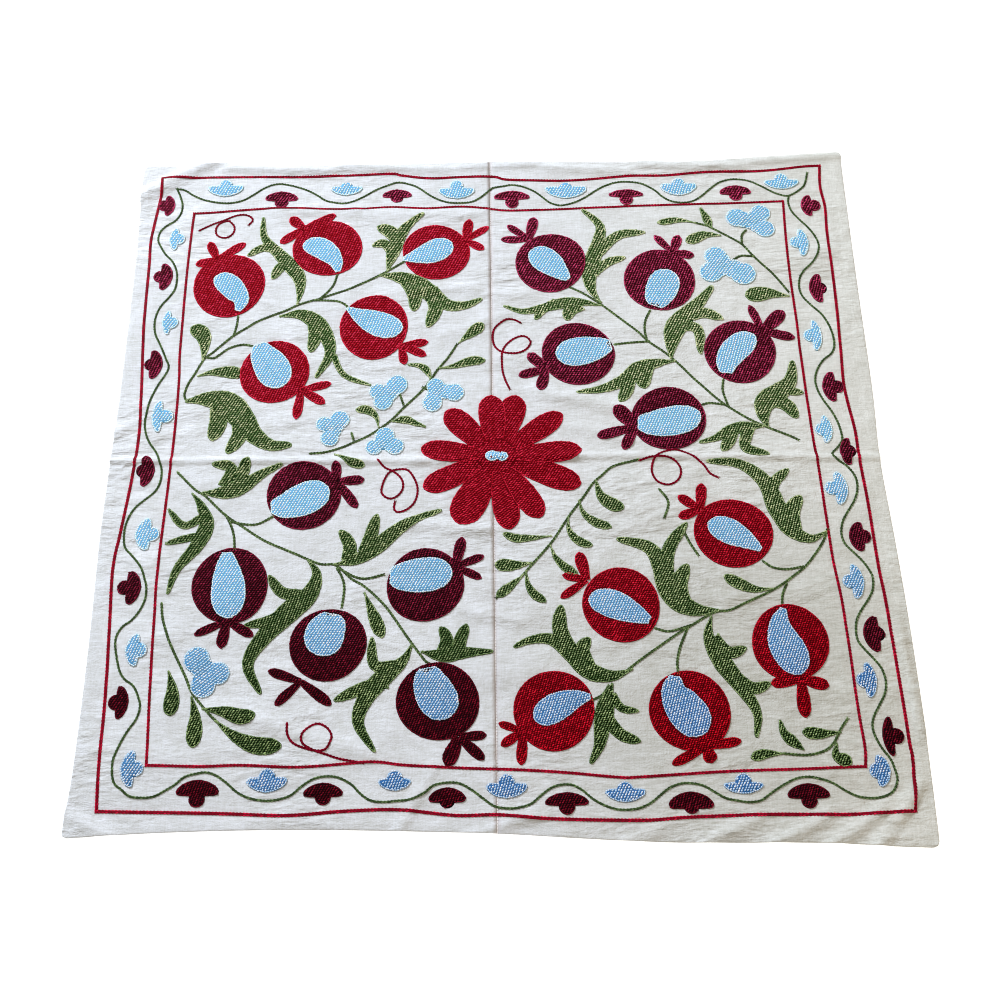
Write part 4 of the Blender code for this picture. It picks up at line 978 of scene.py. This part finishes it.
def underlay(name, near, far, drift):
    """The laid threads under the stitches, matt and dark in painted shade, with the painted light
    falloff.
    """
    material, tree, surface = new_material(name, 0.85, THREAD_SHINE)
    place = add_node(tree, "ShaderNodeTexCoord").outputs["Object"]
    tree.links.new(painted_light_falloff(tree, place, near, far, drift), surface.inputs["Base Color"])
    strands = add_node(tree, "ShaderNodeTexNoise", Vector=place, Scale=420, Detail=2)
    bump = add_node(tree, "ShaderNodeBump", Strength=0.6, Distance=0.0004,
                    Height=strands.outputs["Fac"])
    tree.links.new(bump.outputs["Normal"], surface.inputs["Normal"])
    return material


Dye = namedtuple("Dye", "under near far least spread drift")
# Near and far tones differ by a painted light falloff; the under tones are painted shade, the
# lightest partly painted sheen.
DYES = {
    "crimson": Dye(("#4E0006", "#72000C"), ("#74000A", "#F8142C"), ("#BC0010", "#FF4266"),
                   0.06, 0.96, EVEN_DRIFT),
    "maroon": Dye(("#1A0308", "#34040C"), ("#2C0106", "#981830"), ("#62070F", "#FF5A90"),
                  0.08, 0.82, Drift(0.0, -0.30, 0.40)),
    "green": Dye(("#0E1E06", "#223E16"), ("#1C4412", "#BAD48C"), ("#4A802E", "#FFFFCE"),
                 0.08, 0.88, Drift(0.0, -0.40, 0.20)),
    "blue": Dye(("#366AA2", "#70B2DA"), ("#88C2EC", "#FFFFFF"), ("#CEFAFF", "#FFFFFF"),
                0.2, 0.84, Drift(-0.2, -0.37, -0.05)),
}

# %% [markdown]
# # Pads under the fills
# A filled motif stands about a millimetre proud, because the laid threads run back and forth under
# the stitches that hold them. Each outline becomes a low closed pad: a foot just inside the cloth,
# a rounded shoulder and a top that follows the cloth's own ridges. Pads that meet stand a hair
# higher or lower, so no two tops lie in one plane.


# %% A low closed pad for each outline
PAD_HEIGHT = 0.85
PAD_SHOULDER = 1.6
PAD_FOOT = 0.5
PAD_NET, PAD_NET_CLEAR, PAD_RING_CLEAR = 6, 2, 0.55
PART_STEP, FAMILY_STEP = 0.03, 0.015


def cloth_top(points):
    return lift(points) + CLOTH_THICK


def rounded(depth):
    """The height of a pad at this depth from its edge."""
    return PAD_HEIGHT * np.sqrt(1 - (1 - np.clip(depth / PAD_SHOULDER, 0, 1)) ** 2)


def pad_points(outline):
    """Points inside an outline: one ring at the shoulder and a net in the middle."""
    low, high = outline.min(axis=0) + PAD_NET / 2, outline.max(axis=0)
    net = [np.array((x, y)) for x in np.arange(low[0], high[0], PAD_NET)
           for y in np.arange(low[1], high[1], PAD_NET)]
    ring = outline + sideways(outline, True) * PAD_SHOULDER
    ring = ring[depth_inside(ring, outline) > PAD_SHOULDER * PAD_RING_CLEAR]
    clear = PAD_SHOULDER + PAD_NET_CLEAR
    return list(ring) + [p for p in net if depth_inside(p[None], outline)[0] > clear]


def pad_mesh(mesh, outline, proud):
    """Adds one outline's pad to a bmesh."""
    flat = [Vector(p) for p in outline] + [Vector(p) for p in pad_points(outline)]
    made, _, faces, _, _, owners = delaunay_2d_cdt(flat, [], [range(len(outline))], 0, 0.01)
    faces = [f for f, own in zip(faces, owners) if own]
    where = np.array([tuple(p) for p in made])
    base = cloth_top(where)
    rise = rounded(depth_inside(where, outline)) * proud
    over, under = ([mesh.verts.new((*((p - CENTRE) * MM), h * MM)) for p, h in zip(where, height)]
                   for height in (base + rise, base - PAD_FOOT))
    steps = {(f[i], f[(i + 1) % 3]) for f in faces for i in range(3)}
    for face in faces:
        mesh.faces.new([over[i] for i in face])
        mesh.faces.new([under[i] for i in reversed(face)])
    for a, b in steps:
        if (b, a) not in steps:
            mesh.faces.new((over[b], over[a], under[a], under[b]))


def closed_mesh(name, shells):
    """A mesh from closed shells in a bmesh, with every face turned outwards."""
    bmesh.ops.delete(shells, geom=[v for v in shells.verts if not v.link_faces], context="VERTS")
    bmesh.ops.recalc_face_normals(shells, faces=shells.faces)
    data = bpy.data.meshes.new(name)
    shells.to_mesh(data)
    shells.free()
    return data


def pads(dye, families, proud):
    name = dye + "_pads"
    mesh = bmesh.new()
    for i, one in enumerate(families):
        for k, outline in enumerate(one.outlines):
            pad_mesh(mesh, outline, proud - PART_STEP * k - FAMILY_STEP * (i % 5))
    laid = underlay(name + "_laid_thread", *DYES[dye].under, DYES[dye].drift)
    return finished(name, closed_mesh(name, mesh), laid)


PROUD = {"crimson": 1.0, "maroon": 1.0, "green": 0.9, "blue": 1.25}
pad_objects = [pads(name, families, PROUD[name]) for name, families in FILLS.items()]

# %% [markdown]
# # Where every stitch goes
# The fill is couched: long threads are laid side by side and small slanting stitches hold them, so
# the surface shows slanting ridges of grains like rice. The real ones are too fine to show in the
# picture, so a ridge comes about every 3 mm and a grain about every 3 mm along it, and up to a
# fifth further apart at the far left. Each ridge starts a little further on than the last, which
# makes the second diagonal. We work the places out with numpy, and Geometry Nodes put a grain at
# each.

# %% Rows of grains inside each family
Row = namedtuple("Row", "pitch step shift lean length width height")
ROWS = {
    "crimson": Row(2.9, 2.8, 1.15, 30, 3.3, 2.4, 1.6),
    "maroon": Row(3.0, 2.9, 1.15, 24, 3.4, 2.4, 1.6),
    "green": Row(3.0, 2.9, 1.15, 24, 3.4, 2.3, 1.6),
    "blue": Row(3.1, 3.1, 1.4, 14, 3.1, 2.7, 1.25),
}
COARSER, COARSE_SLANT, COARSE_FROM_TO = 1.22, -0.35, (-350, 400)
GRAIN_PLAY = 0.2
EDGE_CLEAR, UNRIMMED_CLEAR, HOLE_CLEAR = 1.9, 0.2, 0.8
RIM_INSET, RIM_PITCH, RIM_OVERLAP = 0.95, 3.0, 0.6
RIM_PLAY, RIM_TURN_PLAY, RIM_PAINTED_SHADE = (-0.25, 0.35), 13, 0.7
# The last number skews the tints so that a few stitches come out bright, a painted highlight of the
# sheen.
DYE_PATCH, DYE_PATCH_SHARE, PAINTED_SHEEN_SKEW = 60, 0.12, 2.2
chance = np.random.default_rng(11)


def dye_and_sheen_share(flat, least, spread):
    """How light each stitch is: its dye drifts over the cloth in patches, and a few bright stitches
    are a painted highlight of the silk's sheen.
    """
    patches = bumps(flat, DYE_PATCH_SHARE, DYE_PATCH, DYE_PATCH, 2.5)
    return np.clip(least + patches + spread * chance.random(len(flat)) ** PAINTED_SHEEN_SKEW, 0, 1)


def varied(count, *limits):
    """A random length, width and height for each stitch, between their limits."""
    return np.column_stack([chance.uniform(*pair, count) for pair in limits])


def grain_places(one, kind):
    """The middle of every grain of a family, with the direction it points in."""
    corners = np.concatenate(one.outlines)
    low, high = corners.min(axis=0), corners.max(axis=0)
    middle, reach = (low + high) / 2, math.dist(low, high) / 2
    coarse = np.interp(middle[1] + COARSE_SLANT * middle[0], COARSE_FROM_TO, (1.0, COARSER))
    lean = math.radians(one.lean)
    along = np.array((math.cos(lean), math.sin(lean)))
    across = np.array((-along[1], along[0]))
    rows = np.arange(-reach, reach, kind.pitch * coarse)
    steps = np.arange(-reach, reach, kind.step * coarse)
    row, step = np.meshgrid(np.arange(len(rows)), steps, indexing="ij")
    run = step + coarse * ((row * kind.shift) % kind.step)
    flat = middle + run.reshape(-1, 1) * along + rows[row].reshape(-1, 1) * across
    flat = flat + chance.normal(0, GRAIN_PLAY, flat.shape)
    heading = np.full(len(flat), one.lean - kind.lean)
    depth = np.max([depth_inside(flat, outline) for outline in one.outlines], axis=0)
    keep = depth > (EDGE_CLEAR if one.rimmed else UNRIMMED_CLEAR)
    depth = depth if one.rimmed else np.maximum(depth, PAD_SHOULDER)
    rims = [rim_places(outline) for outline in one.outlines if one.rimmed]
    for i, (rim, _) in enumerate(rims):
        inside = [depth_inside(rim, other) for k, other in enumerate(one.outlines) if k != i]
        covered = np.max(inside, axis=0) if inside else np.full(len(rim), -FAR_OUTSIDE)
        keep = np.concatenate([keep, covered < RIM_OVERLAP])
    flat = np.concatenate([flat, *[rim for rim, _ in rims]])
    heading = np.concatenate([heading, *[turned for _, turned in rims]])
    depth = np.concatenate([depth, np.full(len(flat) - len(depth), RIM_INSET)])
    for hole in one.holes:
        keep &= depth_inside(flat, hole) < -HOLE_CLEAR
    return flat[keep], depth[keep], heading[keep], np.full(keep.sum(), coarse)


def rim_places(outline):
    """Stitches that run round the inside of an outline and give it a neat edge."""
    loop = spaced(outline, RIM_PITCH, True)
    left = sideways(loop, True)
    inset = RIM_INSET + chance.uniform(*RIM_PLAY, len(loop))
    turned = heading_of(left) + chance.normal(0, RIM_TURN_PLAY, len(loop))
    return loop + left * inset[:, None], turned


def tilt_along(points, turn, height_of):
    """How much a stitch tips to follow the surface in the direction it points."""
    ahead = np.stack([np.cos(turn), np.sin(turn)], axis=1)
    return np.arctan2(height_of(points + ahead) - height_of(points - ahead), 2.0)


def stitch_points(name, flat, height, turn, tilt, size, tint):
    """A mesh of loose points that carries each stitch's turn, size and tint."""
    data = bpy.data.meshes.new(name)
    data.from_pydata(np.column_stack([(flat - CENTRE) * MM, height * MM]).tolist(), [], [])
    for label, kind, values in (("turn", "FLOAT_VECTOR", np.column_stack([tilt * 0, -tilt, turn])),
                                ("size", "FLOAT_VECTOR", size), ("tint", "FLOAT", tint)):
        data.attributes.new(label, kind, "POINT").data.foreach_set(
            "vector" if kind == "FLOAT_VECTOR" else "value", np.asarray(values, np.float32).ravel())
    return put(name, data)

# %% [markdown]
# # A grain of thread, and how it is laid
# Each grain is a small spindle, thick in the middle, where the thread rises out of the cloth and
# goes back in. The node tree takes the loose points, lays a spindle on each with its own turn and
# size, makes them real and gives them their thread. The same tree makes the links of the chain
# stitch, because a link is only two longer grains in a V.


# %% The node tree that lays stitches on points
def stitch_tree():
    tree = bpy.data.node_groups.new("lay_stitches", "GeometryNodeTree")
    for name, way, kind in (("Points", "INPUT", "NodeSocketGeometry"),
                            ("Stitch Length", "INPUT", "NodeSocketFloat"),
                            ("Stitch Width", "INPUT", "NodeSocketFloat"),
                            ("Stitch Height", "INPUT", "NodeSocketFloat"),
                            ("Thread", "INPUT", "NodeSocketMaterial"),
                            ("Stitches", "OUTPUT", "NodeSocketGeometry")):
        tree.interface.new_socket(name, in_out=way, socket_type=kind)
    given = add_node(tree, "NodeGroupInput")
    size = add_node(tree, "ShaderNodeCombineXYZ", X=given.outputs["Stitch Height"],
                    Y=given.outputs["Stitch Width"], Z=given.outputs["Stitch Length"])
    spindle = add_node(tree, "GeometryNodeMeshUVSphere", Segments=3, Rings=3, Radius=0.5)
    sized = add_node(tree, "GeometryNodeTransform", Geometry=spindle.outputs["Mesh"],
                     Scale=size.outputs[0])
    lying = add_node(tree, "GeometryNodeTransform", Geometry=sized.outputs[0],
                     Rotation=(0, -math.pi / 2, 0))
    soft = add_node(tree, "GeometryNodeSetShadeSmooth", Geometry=lying.outputs[0])
    turn, swell = (add_node(tree, "GeometryNodeInputNamedAttribute",
                            {"data_type": "FLOAT_VECTOR"}, Name=label)
                   for label in ("turn", "size"))
    spin = add_node(tree, "FunctionNodeEulerToRotation", Euler=turn.outputs[0])
    laid = add_node(tree, "GeometryNodeInstanceOnPoints", Points=given.outputs["Points"],
                    Instance=soft.outputs[0], Rotation=spin.outputs[0], Scale=swell.outputs[0])
    real = add_node(tree, "GeometryNodeRealizeInstances", Geometry=laid.outputs[0])
    dyed = add_node(tree, "GeometryNodeSetMaterial", Geometry=real.outputs[0],
                    Material=given.outputs["Thread"])
    end = add_node(tree, "NodeGroupOutput")
    tree.links.new(dyed.outputs[0], end.inputs["Stitches"])
    return tree


lay_stitches = stitch_tree()


def lay(points, length, width, height, material):
    """Runs the node tree on the points and keeps its result as a plain mesh."""
    name = points.name
    worker = points.modifiers.new("stitches", "NODES")
    worker.node_group = lay_stitches
    wanted = {"Stitch Length": length * MM, "Stitch Width": width * MM,
              "Stitch Height": height * MM, "Thread": material}
    for socket in lay_stitches.interface.items_tree:
        if socket.name in wanted:
            worker[socket.identifier] = wanted[socket.name]
    bpy.context.view_layer.update()
    ready = points.evaluated_get(bpy.context.evaluated_depsgraph_get())
    mesh = bpy.data.meshes.new_from_object(ready)
    points.modifiers.remove(worker)
    bpy.data.objects.remove(points)
    mesh.name = name
    return finished(name, mesh)


# %% Lay the grains of every fill
GRAIN_RISE = 0.12
TURN_PLAY = 5


def lay_grains(name, families):
    """All the grains of one fill, turned with their rows and tipped with the cloth."""
    kind, dye = ROWS[name], DYES[name]
    places = [grain_places(one, kind) for one in families]
    flat, depth, heading, coarse = (np.concatenate(column) for column in zip(*places))
    turn = np.radians(heading + chance.normal(0, TURN_PLAY, len(flat)))
    height = cloth_top(flat) + rounded(depth) * PROUD[name] + GRAIN_RISE
    tilt = tilt_along(flat, turn, cloth_top)
    size = varied(len(flat), (0.9, 1.12), (0.88, 1.12), (0.85, 1.2))
    size[:, :2] *= coarse[:, None]
    # Rim stitches get a painted shade: their tint is lowered, standing in for the shadow of the
    # neighbours they lack.
    tint = dye_and_sheen_share(flat, dye.least, dye.spread) * np.where(depth == RIM_INSET, RIM_PAINTED_SHADE, 1)
    tint *= np.repeat([one.lot for one in families], [len(place[0]) for place in places])
    points = stitch_points(name + "_grains", flat, height, turn, tilt, size, tint)
    silk = thread(name + "_silk_thread", dye.near, dye.far, drift=dye.drift)
    return lay(points, kind.length, kind.width, kind.height, silk)


grain_objects = [lay_grains(name, families) for name, families in FILLS.items()]

# %% [markdown]
# # Chain stitch
# The red border lines, the vine, the branches and the tendrils are rows of chain stitch: each loop
# of thread holds the one before it, so the row looks braided. A loop is 4 mm long and 3 to 4 mm
# wide here, a little coarser than such work usually is. The thread of the vine and the branches
# was dyed unevenly, dark and light along its length.

# %% Links of chain stitch along a line
LINK_PITCH = 4.0
LINK_LENGTH, LINK_HEIGHT = 4.9, 1.2
LINK_TURN = 17
LINK_RISE = 0.65
LEAST_DYE, DYE_SPREAD = 0.06, 0.85
CORD_STEP, CORD_REACH = 3.6, 0.42
CORD_SHAPE = ((-1.0, -0.4), (-0.82, 0.45), (0.0, 0.8), (0.82, 0.45), (1.0, -0.4))


def links(lines, spread):
    """Two grains in a V for each link along every line."""
    flat, turn = [], []
    for points in lines:
        line = spaced(smooth(points), LINK_PITCH)
        left = sideways(line)
        for side in (-1, 1):
            flat.append(line + left * side * spread)
            turn.append(heading_of(left) + side * LINK_TURN)
    return np.concatenate(flat), np.radians(np.concatenate(turn))


def cord(name, lines, half_width, material):
    """The low round body of thread that a row of links builds up, along every line."""
    shells = bmesh.new()
    for points in lines:
        line = spaced(smooth(points), CORD_STEP)
        left, base = sideways(line), cloth_top(line)
        rings = []
        for share, rise in CORD_SHAPE:
            place = (line + left * share * half_width - CENTRE) * MM
            rings.append([shells.verts.new((x, y, z)) for (x, y), z
                          in zip(place, (base + rise) * MM)])
        for ring, beside in zip(rings, rings[1:] + rings[:1]):
            for i in range(len(line) - 1):
                shells.faces.new((ring[i], ring[i + 1], beside[i + 1], beside[i]))
        for end, order in ((0, rings), (-1, rings[::-1])):
            shells.faces.new([ring[end] for ring in order])
    return finished(name, closed_mesh(name, shells), material)


# %% Chain stitch for the lines, the vine, the branches and the tendrils
def chain(name, lines, dark, light, width, spread, streak=0.0):
    """A row of chain stitch along each line; streak makes its dye run dark and light."""
    flat, turn = links(lines, spread)
    tilt = tilt_along(flat, turn, cloth_top)
    size = varied(len(flat), (0.94, 1.08), (0.9, 1.1), (0.9, 1.15))
    tint = dye_and_sheen_share(flat, LEAST_DYE, DYE_SPREAD) + streak * (chance.random(len(flat)) - 0.5)
    points = stitch_points(name + "_links", flat, cloth_top(flat) + LINK_RISE, turn, tilt, size,
                           np.clip(tint, 0, 1))
    yarn = thread(name + "_thread", (dark, light), (dark, light))
    return [lay(points, LINK_LENGTH, width, LINK_HEIGHT, yarn),
            cord(name + "_cord", lines, spread + width * CORD_REACH, yarn)]


vine = [VINE_TOP_RIGHT, VINE_ROUND]
chains = chain("outer_red_line", OUTER_RED, "#5A000A", "#EE1E46", 2.0, 1.15)
chains += chain("inner_red_line", INNER_RED, "#5A000A", "#EE1E46", 1.8, 0.95)
chains += chain("vine", vine, "#1A3010", "#88A26A", 1.5, 0.75, 0.6)
chains += chain("branches", STEMS, "#1A2E0E", "#90AA6C", 1.7, 0.85, 0.5)
chains += chain("tendrils", TENDRILS, "#60000E", "#C0143A", 1.5, 0.75)

# %% [markdown]
# # The seam
# The two widths are whipped together with a single pinkish-brown thread, so small stitches cross
# the join every few millimetres and the join itself lies in a faint groove.

# %% Whipping stitches across the seam
WHIP_STEP, WHIP_TURN, WHIP_PLAY, WHIP_SINK = 3.6, 24.0, 6, 0.05
WHIP_SIZE, WHIP_GLOSS = (2.6, 0.55, 0.5), 0.7
WHIP_DYE = ("#A88C82", "#E0D0C8")
seam_line = spaced(((SEAM_BOTTOM_X, -463), (SEAM_TOP_X, 470)), WHIP_STEP)
seam_turn = np.radians(WHIP_TURN + chance.normal(0, WHIP_PLAY, len(seam_line)))
seam_size = chance.uniform(0.8, 1.2, (len(seam_line), 3))
seam_points = stitch_points("seam_stitches", seam_line, cloth_top(seam_line) - WHIP_SINK, seam_turn,
                            tilt_along(seam_line, seam_turn, cloth_top), seam_size,
                            chance.random(len(seam_line)))
seam = lay(seam_points, *WHIP_SIZE, thread("seam_thread", WHIP_DYE, WHIP_DYE, WHIP_GLOSS))

# %% [markdown]
# # Tying the layers to the cloth
# Everything is sewn to the cloth, so every piece rides on its one body. The two fine sheets stand
# for the two solid panels, which are hidden.

# %% Ride and replace
for piece in [cloth_left, cloth_right, seam] + pad_objects + grain_objects + chains:
    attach(piece, "root")
for cloth, node, slot in ((cloth_left, "panel_left", "cotton_left"),
                          (cloth_right, "panel_right", "cotton_right")):
    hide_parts(node)
